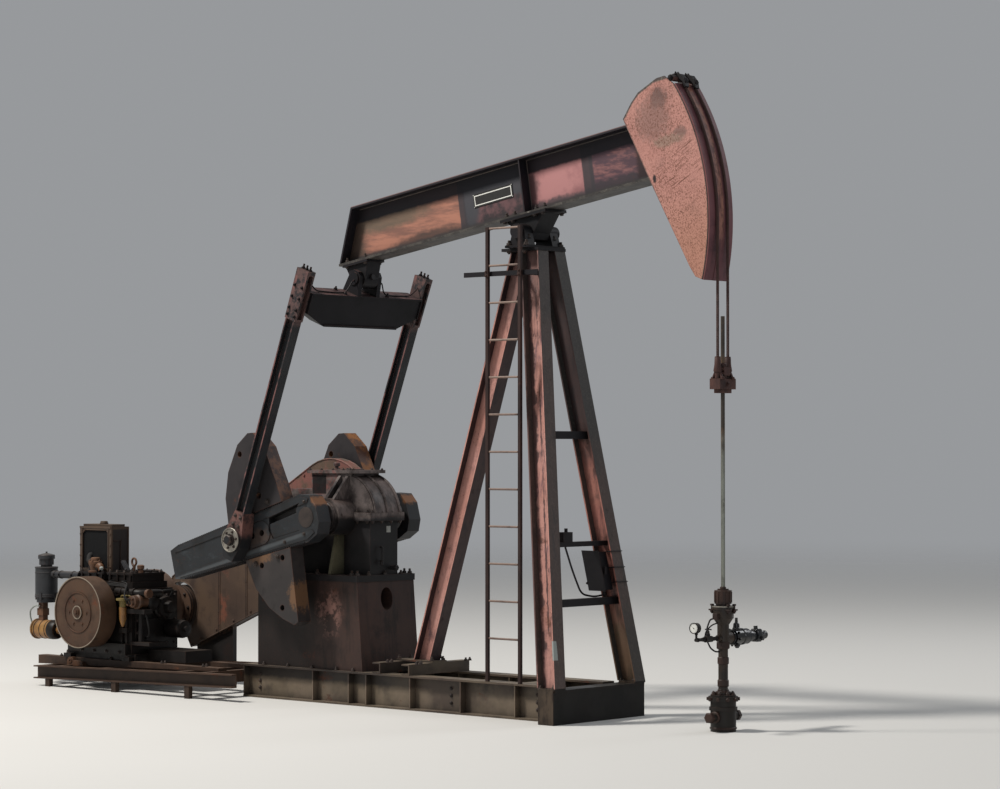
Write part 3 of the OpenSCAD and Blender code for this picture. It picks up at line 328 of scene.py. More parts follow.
def beam_marks(g, c):
    """The beam's own pattern: panels, dark bands, painted shadows at the tail plate and under the head, and a black top
    that is partly the top flange's painted shadow.
    """
    x, y, z = g.local(ON_BEAM)
    soft = 0.012
    # panel tones, from the tail to the head
    left = g.mix(rgb("a06e5c"), rgb("76544a"),
                 g.ramp(g.noise(4.0, 7, 0.65, g.place(stretch=(0.5, 1, 3.0), turn=(0, 0.16, 0))), 0.40, 0.62))
    olive = g.mul(g.spot(x, z, -1.62, 0.46, 0.55, 0.10, 0.45), 0.85)
    left = g.tint(left, "5a5145", olive)
    left = g.tint(left, "3f3532", g.mul(g.spot(x, z, -1.15, 0.20, 0.45, 0.07, 0.5), 0.8))
    # painted shadow of the sloping tail plate on the web's end
    left = g.tint(left, "4a3c34", g.over(g.neg(x), 1.93, 0.08, 0.06))
    mid = g.mix(rgb("5f4446"), rgb("302a2d"), g.ramp(g.noise(7.0, 7, 0.65, g.place(shift=(2, 5, 1))), 0.40, 0.60))
    field = g.most(g.over(z, 0.36, 0.02, 0.04), g.spot(x, z, -0.66, 0.33, 0.09, 0.18, 0.3))
    mid = g.tint(mid, "3b3c41", g.mul(field, 0.95))
    clear = g.mix(rgb("a87675"), rgb("8c5f60"), g.ramp(g.noise(3.0, 6, 0.6), 0.45, 0.66))
    clear = g.tint(clear, "4c383a", g.mul(g.spot(x, z, 0.02, 0.36, 0.10, 0.16, 0.6), 0.75))
    clear = g.tint(clear, "4a4044", g.mul(g.over(g.neg(z), -0.235, 0.02, 0.05), 0.9))
    right = g.mix(rgb("7f5756"), rgb("4b373f"),
                  g.ramp(g.noise(6.0, 8, 0.7, g.place(stretch=(0.6, 1, 2.0), shift=(7, 1, 3))), 0.38, 0.56))
    right = g.tint(right, "383036", g.mul(g.over(g.neg(z), -0.265, 0.02, 0.05), 0.95))
    web = g.mix(left, mid, g.over(x, -0.745, soft))
    web = g.mix(web, clear, g.over(x, -0.04, soft))
    web = g.mix(web, right, g.over(x, 0.66, soft))
    dark = g.mix(rgb("121118"), rgb("1c1a20"), g.noise(9.0, 5, 0.6))
    bands = g.most(g.between(x, -0.795, -0.725, 0.006, 0.006), g.between(x, 0.585, 0.700, 0.008, 0.008))
    web = g.tint(web, "353135", g.mul(bands, 0.95))
    # painted shadow under the horse head's side plates
    web = g.tint(web, "2a1a1c", g.mul(g.over(x, 1.15, 0.03, 0.02), 0.9))
    # painted shadow of the top flange over the web's upper part, along with black grime
    web = g.mix(web, dark, g.mul(g.over(z, 0.492, 0.012, 0.012), 0.97))
    low = g.mul(g.over(g.neg(z), -0.205, 0.012, 0.018), 0.85)
    web = g.tint(web, "393637", low)
    # the flanges and the sloping tail plate are black with grime
    out = g.most(g.over(g.add_raw("ABSOLUTE", y), 0.012, 0.002), g.over(z, 0.607, 0.002))
    c = g.mix(web, dark, out)
    lower = g.mul(g.over(g.neg(z), -0.167, 0.002), out)
    c = g.mix(c, g.mix(rgb("45423e"), rgb("2d2b2a"), g.ramp(g.noise(11.0, 6, 0.7), 0.4, 0.6)), lower)
    return c


def beam_chips_and_highlight(g, c):
    """Pale chips along the lower flange and a painted highlight along the top edge's near side."""
    x, _, z = g.local(ON_BEAM)
    chips = g.ramp(g.noise(34.0, 6, 0.8, g.place(stretch=(0.6, 1, 1.6))), 0.60, 0.66)
    row = g.between(z, 0.150, 0.185, 0.01, 0.01)
    some = g.over(x, 0.05, 0.3)
    c = g.tint(c, "9a958c", g.mul(chips, g.mul(row, g.plus(some, 0.25))))
    # painted highlight: a light line on the top flange's near edge
    rim = g.mul(g.over(z, 0.624, 0.002), g.toward(1, 0.05, 0.5, -1.0))
    return g.tint(c, "7a6160", g.mul(rim, 0.8))


def head_marks(g, c):
    """Blotches, scratches and rusty borders of the horse head's side plates."""
    x, _, z = g.local(ON_BEAM)
    dark = g.mix(rgb("5f4a46"), rgb("3d3231"), g.noise(30.0, 4, 0.6))
    c = g.mix(c, dark, g.mul(g.spot(x, z, 1.552, 0.755, 0.085, 0.095, 0.9, 24.0), 0.85))
    c = g.tint(c, "7c5f58", g.mul(g.spot(x, z, 1.47, 0.60, 0.18, 0.19, 1.0, 20.0), 0.70))
    c = g.tint(c, "6d544e", g.mul(g.spot(x, z, 1.73, 0.44, 0.07, 0.05, 1.1, 30.0), 0.80))
    c = g.tint(c, "7f7263", g.mul(g.spot(x, z, 1.60, 0.40, 0.15, 0.05, 1.2, 26.0), 0.6))
    low = g.over(g.neg(z), 0.20, 0.35, 0.05)
    c = g.tint(c, "a8785f", g.mul(low, 0.55))
    return c


def along(g, x, z, nx, nz, edge, wide=0.016):
    """1 in a ragged band along a straight edge with outward direction (nx, nz)."""
    d = g.add_raw("ADD", g.add_raw("MULTIPLY", x, nx), g.add_raw("MULTIPLY", z, nz))
    return g.over(d, edge - wide, 0.006, 0.012, 40.0)


def head_specks(g, c):
    """Small rust flecks all over, deep scratches, and painted shade on the inner sides between the plates."""
    x, y, z = g.local(ON_BEAM)
    fleck = g.noise(95.0, 5, 0.8, g.place(stretch=(1.0, 1.0, 0.7), shift=(1, 8, 2)))
    zone = g.ramp(g.noise(2.6, 5, 0.65, g.place(shift=(6, 1, 7))), 0.32, 0.66, 0.35, 1.0)
    mask = g.mul(g.ramp(fleck, 0.512, 0.555), zone)
    worm = g.noise(48.0, 3, 0.6, g.place(shift=(3, 3, 9)), 1.8)
    mask = g.most(mask, g.mul(g.between(worm, 0.486, 0.506, 0.004), g.mul(zone, 0.9)))
    # scratches run up towards the well, 21 degrees from the beam's length
    up, on = math.sin(math.radians(21)), math.cos(math.radians(21))
    run = g.add("ShaderNodeCombineXYZ")
    g.put(run.inputs[0],
          g.add_raw("MULTIPLY", g.add_raw("ADD", g.add_raw("MULTIPLY", x, on), g.add_raw("MULTIPLY", z, up)), 0.35))
    g.put(run.inputs[2],
          g.add_raw("MULTIPLY", g.add_raw("SUBTRACT", g.add_raw("MULTIPLY", z, on), g.add_raw("MULTIPLY", x, up)), 8.0))
    lines = g.noise(10.0, 4, 0.6, run.outputs[0])
    area = g.most(g.spot(x, z, 1.68, 0.16, 0.26, 0.20, 0.35, 5.0), g.spot(x, z, 1.72, 0.34, 0.12, 0.07, 0.4, 5.0))
    cut = g.mul(g.ramp(lines, 0.560, 0.590), area)
    mask = g.most(mask, cut)
    c = g.mix(c, g.mix(rgb("3f231e"), rgb("74432e"), g.noise(60.0, 3, 0.6)), g.mul(mask, 0.92))
    hole = g.spot(x, z, 1.419, 0.130, 0.018, 0.035, 0.5, 30.0)
    c = g.tint(c, "1c1214", hole)
    # black weathered rim along the upper back edges
    top = g.over(z, 0.55, 0.02)
    rim = g.most(along(g, x, z, -0.324, 0.946, 0.357), along(g, x, z, -0.627, 0.779, -0.195))
    rim = g.most(rim, along(g, x, z, -0.734, 0.679, -0.409))
    rim = g.most(g.mul(rim, top), g.over(z, 0.885, 0.008, 0.012, 40.0))
    rim = g.most(rim, g.mul(along(g, x, z, -0.943, -0.333, -1.3335, 0.009), 0.7))
    c = g.mix(c, g.mix(rgb("2a2b2b"), rgb("55554a"), g.ramp(g.noise(45.0, 4, 0.7), 0.5, 0.6)), g.mul(rim, 0.92))
    # painted shade on the side plates' inner faces, between the plates
    inner = g.less(1.0, g.over(g.add_raw("ABSOLUTE", y), 0.1475, 0.001))
    return g.tint(c, "2c2224", g.mul(inner, 0.75))


def face_marks(g, c):
    """The worn, rusty middle strip of the head's face."""
    _, y, z = g.local(ON_BEAM)
    wide = g.ramp(g.add_raw("ABSOLUTE",
                            g.add_raw("ADD", y,
                                      g.add_raw("MULTIPLY", g.add_raw("SUBTRACT", g.noise(16.0, 5, 0.6), 0.5), 0.03))),
                                      0.036, 0.026)
    strip = g.mul(wide, g.over(z, -0.45, 0.15, 0.1))
    worn = g.mix(rgb("9a6a58"), rgb("5a3530"), g.ramp(g.noise(30.0, 7, 0.75, g.place(stretch=(1, 1, 0.3))), 0.42, 0.60))
    c = g.mix(c, worn, g.mul(strip, 0.85))
    side = g.ramp(g.add_raw("ABSOLUTE", y), 0.135, 0.147)
    return g.tint(c, "6a3a38", g.mul(side, 0.55))


def leg_marks(g, c):
    """Legs: mottled salmon on the sides towards the light, with painted shade on the near side's strip behind the
    centre line, where the rear flange shades the web; leg_shade paints the near black shade on the sides that look at
    the well.
    """
    x, y, z = g.local(HERE)
    streak = g.noise(5.0, 8, 0.7, g.place(stretch=(3.0, 3.0, 0.35), shift=(3, 2, 6)))
    c = g.tint(c, "5d4550", g.mul(g.ramp(streak, 0.54, 0.66), 0.8))
    c = g.tint(c, "2a2527", g.mul(g.ramp(g.noise(9.0, 7, 0.75, g.place(stretch=(2, 2, 0.6))), 0.60, 0.68), 0.9))
    high = g.over(z, 3.30, 0.12, 0.25, 5.0)
    c = g.tint(c, "3a2f2f", g.mul(high, 0.62))
    # how far a point lies behind the near leg's leaning centre line
    behind = g.add_raw("SUBTRACT", 0.6531, g.add_raw("ADD", x, g.add_raw("MULTIPLY", z, 0.1487)))
    side = g.mul(g.near(), g.over(g.neg(y), 0.08, 0.01))
    # painted shade: the near side's rear strip, which the rear flange shades, is darker
    c = g.tint(c, "3b2c2d", g.mul(g.mul(g.over(behind, 0.055, 0.012, 0.10, 6.0), side), 0.85))
    seam = g.mul(g.between(behind, -0.012, 0.004, 0.004, 0.02),
                 g.ramp(g.noise(1.6, 4, 0.6, g.place(shift=(2, 2, 2))), 0.42, 0.55))
    c = g.tint(c, "33262a", g.mul(g.mul(seam, side), 0.85))
    pale = g.mul(g.between(z, 0.515, 0.665, 0.004, 0.01), g.over(x, 0.615, 0.004))
    pale = g.most(pale, g.mul(g.between(z, 1.080, 1.115, 0.004), g.between(x, 0.525, 0.560, 0.004)))
    return g.tint(c, "8f9693", g.mul(g.mul(pale, side), 0.9))


def leg_shade(g, c):
    """Painted shade: the sides that look at the well, away from the key light, are near black, darkest on the rear leg;
    with one pale patch.
    """
    x, y, z = g.local(HERE)
    dark = g.mix(rgb("2f2d2b"), rgb("45413d"), g.ramp(g.noise(60.0, 6, 0.8), 0.5, 0.62))
    dark = g.tint(dark, "151318", g.over(g.neg(x), 0.15, 0.02))
    # painted shade: faces that look ahead, away from the key light, near black; darkest on the rear leg
    c = g.mix(c, dark, g.mul(g.toward(0, 0.30, 0.65), 0.92))
    pale = g.mul(g.between(z, 0.515, 0.665, 0.004, 0.01), g.between(y, -0.545, -0.492, 0.004, 0.01))
    return g.tint(c, "8f9693", g.mul(g.mul(pale, g.over(x, 0.60, 0.004)), 0.9))


def far_leg_marks(g, c):
    """Darker towards the top, brown with mud at the foot."""
    _, _, z = g.local(HERE)
    streak = g.noise(5.0, 8, 0.7, g.place(stretch=(3.0, 3.0, 0.35), shift=(5, 1, 8)))
    c = g.tint(c, "4a3436", g.mul(g.ramp(streak, 0.52, 0.64), 0.85))
    c = g.tint(c, "2e292b", g.mul(g.over(z, 2.15, 0.25, 0.3, 5.0), 0.93))
    c = g.tint(c, "574a36", g.mul(g.over(g.neg(z), -0.85, 0.2, 0.2, 5.0), 0.85))
    return c


def skid_marks(g, c):
    """Near the pedestal the webs' upper part is darkened with the top flange's painted shadow; the webs are pale below.
    """
    x, _, z = g.local(HERE)
    # painted shadow of the top flange darkens the webs' upper part near the pedestal
    dark = g.mul(g.over(z, 0.185, 0.02, 0.03), g.over(g.neg(x), 1.2, 0.3))
    c = g.tint(c, "241f1d", g.mul(dark, 0.85))
    pale = g.mul(g.over(g.neg(z), -0.18, 0.02, 0.02), g.ramp(g.noise(2.0, 4, 0.6), 0.4, 0.6))
    return g.tint(c, "7a6c5c", g.mul(pale, 0.55))


def front_marks(g, c):
    """The beam's end beside the near leg is brown with mud."""
    mud = g.mix(rgb("4d4136"), rgb("2f2620"),
                g.ramp(g.noise(9.0, 6, 0.7, g.place(stretch=(2.0, 2.0, 0.5))), 0.42, 0.62))
    return g.mix(c, mud, g.mul(g.near(), 0.9))


def pedestal_marks(g, c):
    """Black at the near rear, oil stains with the painted shadow of the cranks and weights; pink-brown elsewhere."""
    x, _, z = g.local(HERE)
    # near-rear black: oil stains with the painted shadow of the cranks and weights
    oil = g.mul(g.over(g.neg(x), 2.28, 0.10, 0.14, 5.0), g.near())
    c = g.tint(c, "1b1716", g.mul(oil, 0.85))
    c = g.tint(c, "201a18", g.mul(g.ramp(g.noise(5.0, 6, 0.65, g.place(stretch=(2.2, 2.2, 0.35))), 0.52, 0.66), 0.75))
    patch = g.mul(g.spot(x, z, -2.05, 0.78, 0.16, 0.22, 0.7, 6.0), g.near())
    patch = g.mul(patch, g.ramp(g.noise(7.0, 7, 0.75, g.place(shift=(4, 2, 1))), 0.46, 0.56))
    return g.mix(c, g.mix(rgb("8a6a60"), rgb("6a4a45"), g.noise(20.0, 5, 0.6)), g.mul(patch, 0.7))


def guard_marks(g, c):
    """Seams, a red upper end and a black foot on the belt guard."""
    x, _, z = g.local(HERE)
    seam = g.most(g.between(x, -4.225, -4.213, 0.003), g.between(x, -3.856, -3.844, 0.003))
    c = g.tint(c, "1d1614", g.mul(seam, 0.85))
    c = g.tint(c, "8a4f3c",
               g.mul(g.mul(g.between(x, -4.20, -4.10, 0.04, 0.03), g.ramp(g.noise(8.0, 6, 0.7), 0.45, 0.6)), 0.5))
    red = g.mul(g.over(z, 1.72, 0.15, 0.15), g.ramp(g.noise(6.0, 6, 0.7), 0.42, 0.6))
    c = g.tint(c, "7e4b45", g.mul(red, 0.7))
    foot = g.over(g.add_raw("SUBTRACT", g.add_raw("MULTIPLY", x, 0.404), z), -2.16, 0.012)
    return g.tint(c, "151414", g.mul(g.mul(foot, g.over(x, -4.60, 0.01)), 0.92))


def crank_marks(g, c):
    """Orange rust at the hub's corner and round the pin holes, pale streaks on the flat sides, painted shadow in the
    long pocket under its upper rim, and a painted highlight along the lower rim.
    """
    x, y, z = g.local(ON_CRANK)
    near = g.near()
    c = g.tint(c, "7e5230", g.mul(g.spot(x, z, 0.130, 0.125, 0.040, 0.060, 0.9, 22.0), 0.75))
    c = g.tint(c, "564033", g.mul(g.spot(x, z, -0.62, -0.03, 0.16, 0.08, 0.9, 18.0), 0.35))
    # painted shadow: the pocket's upper part under the rim is near black
    slot = g.mul(g.between(z, 0.070, 0.145, 0.006), g.between(x, -0.475, -0.02, 0.01))
    deep = g.less(1.0, g.over(g.add_raw("ABSOLUTE", y), 0.622, 0.003))
    c = g.tint(c, "0e0f12", g.mul(g.mul(slot, deep), 0.9))
    pale = g.ramp(g.noise(5.0, 8, 0.7, g.place(stretch=(1, 1, 2.5), turn=(0, -0.26, 0))), 0.56, 0.70)
    c = g.tint(c, "474e54", g.mul(pale, g.mul(near, 0.30)))
    # painted highlight along the lower rim's edge, on the near side
    lit = g.mul(g.between(z, -0.150, -0.118, 0.01, 0.006), g.over(g.neg(x), 0.05, 0.1))
    return g.tint(c, "565b5e", g.mul(g.mul(lit, near), 0.45))


def weight_marks(g, c):
    """Orange rust on the ends that look at the well, darker iron above."""
    x, y, z = g.local(ON_CRANK)
    c = g.tint(c, "7d5a3c", g.mul(g.spot(x, z, -0.30, -0.62, 0.08, 0.12, 1.3, 26.0), 0.55))
    c = g.tint(c, "6f5138", g.mul(g.spot(x, z, -0.62, -0.20, 0.14, 0.06, 1.3, 26.0), 0.7))
    c = g.tint(c, "242226", g.mul(g.over(z, 0.2, 0.1), 0.55))
    end = g.mul(g.toward(0, 0.25, 0.6), g.over(z, 0.15, 0.1))
    far = g.over(y, 0.0, 0.01)
    rusty = g.mix(g.mix(rgb("3f3230"), rgb("52392f"), far), g.mix(rgb("75523f"), rgb("96602f"), far),
                  g.ramp(g.noise(7.0, 7, 0.7), 0.42, 0.6))
    return g.mix(c, rusty, g.mul(end, 0.85))


def gear_marks(g, c):
    """The case is near black below its joint, with painted shade on its faces that look ahead; the domes above are
    dusty brown with pink edges.
    """
    x, y, z = g.local(HERE)
    high = g.over(z, 1.60, 0.03, 0.02)
    dusty = g.mix(rgb("756b68"), rgb("4a4341"), g.ramp(g.noise(6.0, 7, 0.7, g.place(stretch=(1, 2, 1))), 0.42, 0.62))
    c = g.mix(c, dusty, g.mul(high, 0.85))
    back = g.mul(g.over(g.neg(x), 2.12, 0.04, 0.05), g.over(z, 1.78, 0.06, 0.06))
    pinkish = g.ramp(g.noise(9.0, 7, 0.7, g.place(shift=(1, 4, 2))), 0.45, 0.58)
    c = g.tint(c, "7d5450", g.mul(g.mul(back, pinkish), 0.85))
    # painted shade: the lower case's faces that look ahead, away from the key light, darkened further
    low = g.less(1.0, high)
    c = g.tint(c, "121315", g.mul(low, g.mul(g.toward(0, 0.3, 0.8), 0.75)))
    slot = g.mul(g.between(x, -2.44, -2.27, 0.006), g.between(z, 1.80, 1.965, 0.006))
    c = g.tint(c, "0c0c0f", g.mul(g.mul(slot, g.toward(1, 0.3, 0.7, -1.0)), 0.9))
    rib = g.mul(g.over(g.add_raw("ABSOLUTE", y), 0.174, 0.002),
                g.mul(g.between(x, -2.10, -2.02, 0.005), g.between(z, 1.11, 1.55, 0.01)))
    return g.mix(c, g.mix(rgb("68664f"), rgb("4b463c"), g.noise(14.0, 5, 0.6)), g.mul(rib, 0.9))


def wrist_marks(g, c):
    """Pink-brown plate above the pin, black grease below."""
    _, _, z = g.local(ON_PITMAN)
    c = g.mix(c, g.mix(rgb("6a4a44"), rgb("3b2d2c"), g.ramp(g.noise(12.0, 6, 0.7), 0.45, 0.62)),
              g.mul(g.over(z, 0.07 - PIT, 0.04, 0.03), 0.9))
    return c


def pitman_marks(g, c):
    """Pink on the rims that look at the sun: worn pink paint, shown only on the lit side as painted light."""
    x, _, z = g.local(ON_PITMAN)
    rim = g.mul(g.near(), g.over(g.add_raw("ABSOLUTE", x), 0.038, 0.004))
    worn = g.ramp(g.noise(4.0, 8, 0.75, g.place(stretch=(1, 1, 0.5))), 0.44, 0.56)
    # painted light together with worn paint: pink only on the near-facing rims
    c = g.tint(c, "7d5552", g.mul(g.mul(rim, worn), 0.75))
    end = g.over(z, -0.43, 0.03, 0.04)
    return g.tint(c, "5b4542", g.mul(g.mul(end, g.ramp(g.noise(12.0, 6, 0.7), 0.42, 0.56)), 0.8))


def radiator_marks(g, c):
    """A brown frame round a near-black core, and a dark side panel."""
    _, y, z = g.local(HERE)
    side = g.toward(0, 0.4, 0.8)
    rim = g.most(g.over(z, 1.445, 0.003), g.over(g.neg(y), 0.478, 0.003))
    rim = g.most(rim, g.over(y, -0.305, 0.003))
    return g.tint(c, "1d1a1b", g.mul(g.mul(side, g.less(1.0, rim)), 0.9))


M["pink"] = paint("old_salmon_paint", "966963", "9c6e65", "6f4e4b", rust=0.30, rust_bright=0.3, grime_and_shade=0.55, wear=0.25,
                  streak=0.25, dust=0.08, spec=0.3, local=beam_marks, last=beam_chips_and_highlight)
M["head"] = paint("salmon_paint_head", "ab786e", "b48176", "8d655d", rust=0.22, rust_bright=0.3, grime_and_shade=0.3, wear=0.9,
                  streak=0.10, dust=0.05, edge=0.012, local=head_marks, last=head_specks)
M["leg"] = paint("salmon_paint_legs", "ad7a6e", "bb8a80", "6d4d4a", rust=0.45, rust_bright=0.35, grime_and_shade=0.6, wear=0.8,
                 streak=0.6, spots=0.6, dust=0.05, local=leg_marks, last=leg_shade)
M["far_leg"] = paint("salmon_paint_far_leg", "a3695e", "ab7467", "5c443f", rust=0.50, rust_bright=0.4, grime_and_shade=0.6,
                     wear=0.5,
                     streak=0.6, spots=0.7, dust=0.05, local=far_leg_marks, last=leg_shade)
M["face"] = paint("dark_red_face", "633c42", "744a4e", "33222a", rust=0.25, rust_bright=0.3, grime_and_shade=0.4, wear=0.5,
                  streak=0.35, dust=0.05, local=face_marks)
M["black"] = paint("black_grime", "0e0e12", "171519", "090809", rust=0.20, rust_bright=0.30, grime_and_shade=0.5, wear=0.20,
                   streak=0.3, dust=0.35, dust_colour="4a3c38", spec=0.22)
M["equal"] = paint("equalizer_black", "0c0c11", "141217", "08080a", rust=0.16, rust_bright=0.30, grime_and_shade=0.5, wear=0.15,
                   streak=0.3, dust=0.8, dust_colour="5f4745", spec=0.2)
M["pitman"] = paint("pitman_paint", "1c1e22", "272a2d", "121214", rust=0.22, rust_bright=0.35, grime_and_shade=0.5, wear=0.35,
                    streak=0.3, dust=0.2, dust_colour="5d5650", spots=0.3, spec=0.3, local=pitman_marks)
M["wrist"] = paint("wrist_bearing_paint", "121316", "1b1c1f", "0a0a0b", rust=0.25, rust_bright=0.4, grime_and_shade=0.5,
                   wear=0.45,
                   streak=0.3, dust=0.3, dust_colour="5d5650", spec=0.3, local=wrist_marks)
M["crank"] = paint("blue_grey_paint", "191c1f", "212529", "101213", rust=0.16, rust_bright=0.6, grime_and_shade=0.55, wear=0.30,
                   streak=0.25, dust=0.35, dust_colour="4e4a46", spots=0.2, scratch=0.3, spec=0.35, local=crank_marks)
M["gear"] = paint("gearbox_paint", "17181b", "242122", "0e0e10", rust=0.34, rust_bright=0.4, grime_and_shade=0.6, wear=0.35,
                  streak=0.45, dust=0.9, dust_colour="5f504b", gloss_oil=0.35, spec=0.25, local=gear_marks)
M["weight"] = paint("weight_iron", "2e2b2b", "393433", "1c1a1a", rust=0.42, rust_bright=0.6, grime_and_shade=0.5, wear=0.6,
                    streak=0.4, dust=0.3, dust_colour="5d4c3e", edge=0.014, spec=0.25, local=weight_marks)
M["brown"] = paint("brown_paint", "46352a", "533f32", "2c1f1a", rust=0.40, rust_bright=0.4, grime_and_shade=0.5, wear=0.6,
                   streak=0.25, dust=0.15, spots=0.4)
M["radiator"] = paint("radiator_paint", "3d3027", "4a3b2e", "281e19", rust=0.30, rust_bright=0.35, grime_and_shade=0.5, wear=0.6,
                      streak=0.25, dust=0.3, spots=0.2, local=radiator_marks)
M["wheel"] = paint("flywheel_paint", "412f24", "4d3a2c", "2b2018", rust=0.50, rust_bright=0.22, grime_and_shade=0.4, wear=0.8,
                   streak=0.0, dust=0.10, spots=0.9, spec=0.25)
M["guard"] = paint("guard_paint", "483a32", "564538", "312725", rust=0.25, rust_bright=0.45, grime_and_shade=0.45, wear=0.6,
                   streak=0.35, dust=0.2, local=guard_marks)
M["skid"] = paint("skid_paint", "453a32", "5c5142", "241e1c", rust=0.5, rust_bright=0.35, grime_and_shade=0.6, wear=0.5,
                  streak=0.35, dust=0.75, dust_colour="7d7161", local=skid_marks)
M["rail"] = paint("rail_rust", "2c211b", "403026", "18120f", rust=0.50, rust_bright=0.40, grime_and_shade=0.5, wear=0.5,
                  streak=0.3, dust=0.75, dust_colour="68564a", spec=0.25)
M["front"] = paint("front_beam_paint", "0f0e0d", "191614", "0a0909", rust=0.20, rust_bright=0.3, grime_and_shade=0.4, wear=0.3,
                   streak=0.3, dust=0.6, dust_colour="3f382f", gloss_oil=0.4, spec=0.22, local=front_marks)
M["engine"] = paint("engine_grime", "121010", "1f1a18", "090808", rust=0.30, rust_bright=0.4, grime_and_shade=0.6, wear=0.3,
                    streak=0.35, dust=0.30, dust_colour="4e4238", gloss_oil=0.4, spec=0.25)
M["filter"] = paint("filter_grey", "232529", "303134", "151618", rust=0.2, rust_bright=0.4, grime_and_shade=0.4, wear=0.5,
                    streak=0.3, dust=0.2, spec=0.35)
M["orange"] = paint("orange_paint", "86542c", "9a7440", "45261a", rust=0.35, rust_bright=0.5, grime_and_shade=0.5, wear=0.5,
                    streak=0.5, dust=0.2, gloss_oil=0.4)
M["ladder"] = paint("ladder_rust", "251a19", "352623", "140f10", rust=0.5, rust_bright=0.35, grime_and_shade=0.3, wear=0.4,
                    streak=0.2, dust=0.7, dust_colour="7a625a", spec=0.25)
M["rung"] = paint("rung_rust", "6a5750", "7d6a60", "3a2c28", rust=0.5, rust_bright=0.35, grime_and_shade=0.3, wear=0.4,
                  streak=0.2, dust=0.8, dust_colour="a2948a", spec=0.25)
M["well"] = paint("wellhead_iron", "14110e", "1d1814", "0a0807", rust=0.35, rust_bright=0.35, grime_and_shade=0.4, wear=0.30,
                  streak=0.45, dust=0.2, gloss_oil=0.6, spec=0.3)
M["stuff"] = paint("stuffing_box_rust", "221612", "35221b", "120c0a", rust=0.45, rust_bright=0.4, grime_and_shade=0.4, wear=0.4,
                   streak=0.3, dust=0.25, dust_colour="5a463a", gloss_oil=0.5, spec=0.35)
M["valve"] = paint("valve_blue_black", "0d1014", "15191f", "070809", rust=0.10, rust_bright=0.3, grime_and_shade=0.4, wear=0.2,
                   streak=0.3, dust=0.1, gloss_oil=0.7, spec=0.5, rough=(0.25, 0.6))
M["tubing"] = paint("tubing_rust", "22180f", "2f2115", "110c08", rust=0.45, rust_bright=0.40, grime_and_shade=0.3, wear=0.3,
                    streak=0.6, dust=0.1, gloss_oil=0.8, spec=0.4)
M["pedestal"] = paint("pedestal_paint", "302421", "3c2c27", "1f1918", rust=0.40, rust_bright=0.35, grime_and_shade=0.5, wear=0.4,
                      streak=0.6, dust=0.2, spots=0.3, spec=0.25, local=pedestal_marks)
M["bolt"] = paint("bolt_steel", "241e1c", "382e29", "130f0f", rust=0.5, rust_bright=0.45, grime_and_shade=0.3, wear=0.5,
                  streak=0.0, dust=0.1, edge=0.002)
M["rusty"] = paint("orange_rust", "4a3020", "604029", "241710", rust=0.6, rust_bright=0.5, grime_and_shade=0.5, wear=0.4,
                   streak=0.2, dust=0.2)


def steel(name, base, rough=0.3, metal=0.9, stained=None):
    """Bare steel, brown with old oil above the height given by stained."""
    g = Graph(name)
    rings = g.noise(30.0, 4, 0.6, g.place(stretch=(1, 1, 0.08)))
    colour = g.mix(rgb(base), rgb("3a352e"), g.mul(g.ramp(g.noise(6.0, 6, 0.7), 0.45, 0.7), 0.6))
    if stained:
        high = g.over(g.local(HERE)[2], stained, 0.25, 0.5, 3.0)
        brown = g.mix(rgb("2c211a"), rgb("5c4632"),
                      g.ramp(g.noise(9.0, 6, 0.7, g.place(stretch=(1, 1, 0.4))), 0.42, 0.6))
        colour = g.mix(colour, brown, g.mul(high, 0.92))
        metal = g.less(metal, g.mul(high, metal * 0.8))
    r = g.plus(rough, g.mul(rings, 0.3))
    return g.finish(colour, r, g.noise(220.0, 2, 0.5), 0.12, 0.0005, metal)


def plain(name, colour, rough=0.6, grain=90.0, mottled=0.25, dark="201a18"):
    """A mottled material without rust."""
    g = Graph(name)
    c = g.mix(rgb(colour), rgb(dark), g.mul(g.ramp(g.noise(14.0, 7, 0.7), 0.42, 0.75), mottled))
    r = g.plus(rough, g.mul(g.noise(25.0, 4, 0.6), 0.25))
    return g.finish(c, r, g.noise(grain, 4, 0.6), 0.3, 0.0008)


M["rod"] = steel("polished_rod", "8b8d84", stained=2.25)
M["socket"] = paint("rope_socket_rust", "47302c", "5a3d36", "241a1b", rust=0.55, rust_bright=0.35, grime_and_shade=0.5, wear=0.5,
                    streak=0.3, dust=0.2, spec=0.25)
M["bright"] = steel("rubbed_steel", "9a958c", 0.35, 0.8)
M["rope"] = plain("greasy_rope", "4a3430", 0.55, 400.0, 0.6)
M["rubber"] = plain("old_rubber", "1c1b1b", 0.7)
M["plate"] = plain("enamel_plate", "d8d8d2", 0.45, 60.0, 0.25, "8a7468")
M["glass"] = plain("gauge_face", "d9d9d4", 0.25, 40.0, 0.12, "8a8a80")
M["patch"] = plain("pale_patch", "8d918d", 0.7, 80.0, 0.5, "4a4443")
M["copper"] = plain("copper_pipe", "8a5a3c", 0.4, 60.0, 0.5)
M["core"] = plain("radiator_core", "17181a", 0.7, 60.0, 0.3)
M["ink"] = plain("gauge_ink", "1a1a1a", 0.6)
M["brass"] = plain("old_brass", "6f6136", 0.5, 70.0, 0.5, "2e2618")
M["rim"] = plain("worn_rim", "7d7265", 0.55, 60.0, 0.5, "3a2c22")
M["weld"] = paint("weld_bead", "3b3532", "574c46", "221e1d", rust=0.5, rust_bright=0.5, grime_and_shade=0.2, wear=0.3,
                  streak=0.0, dust=0.1, edge=0.003)

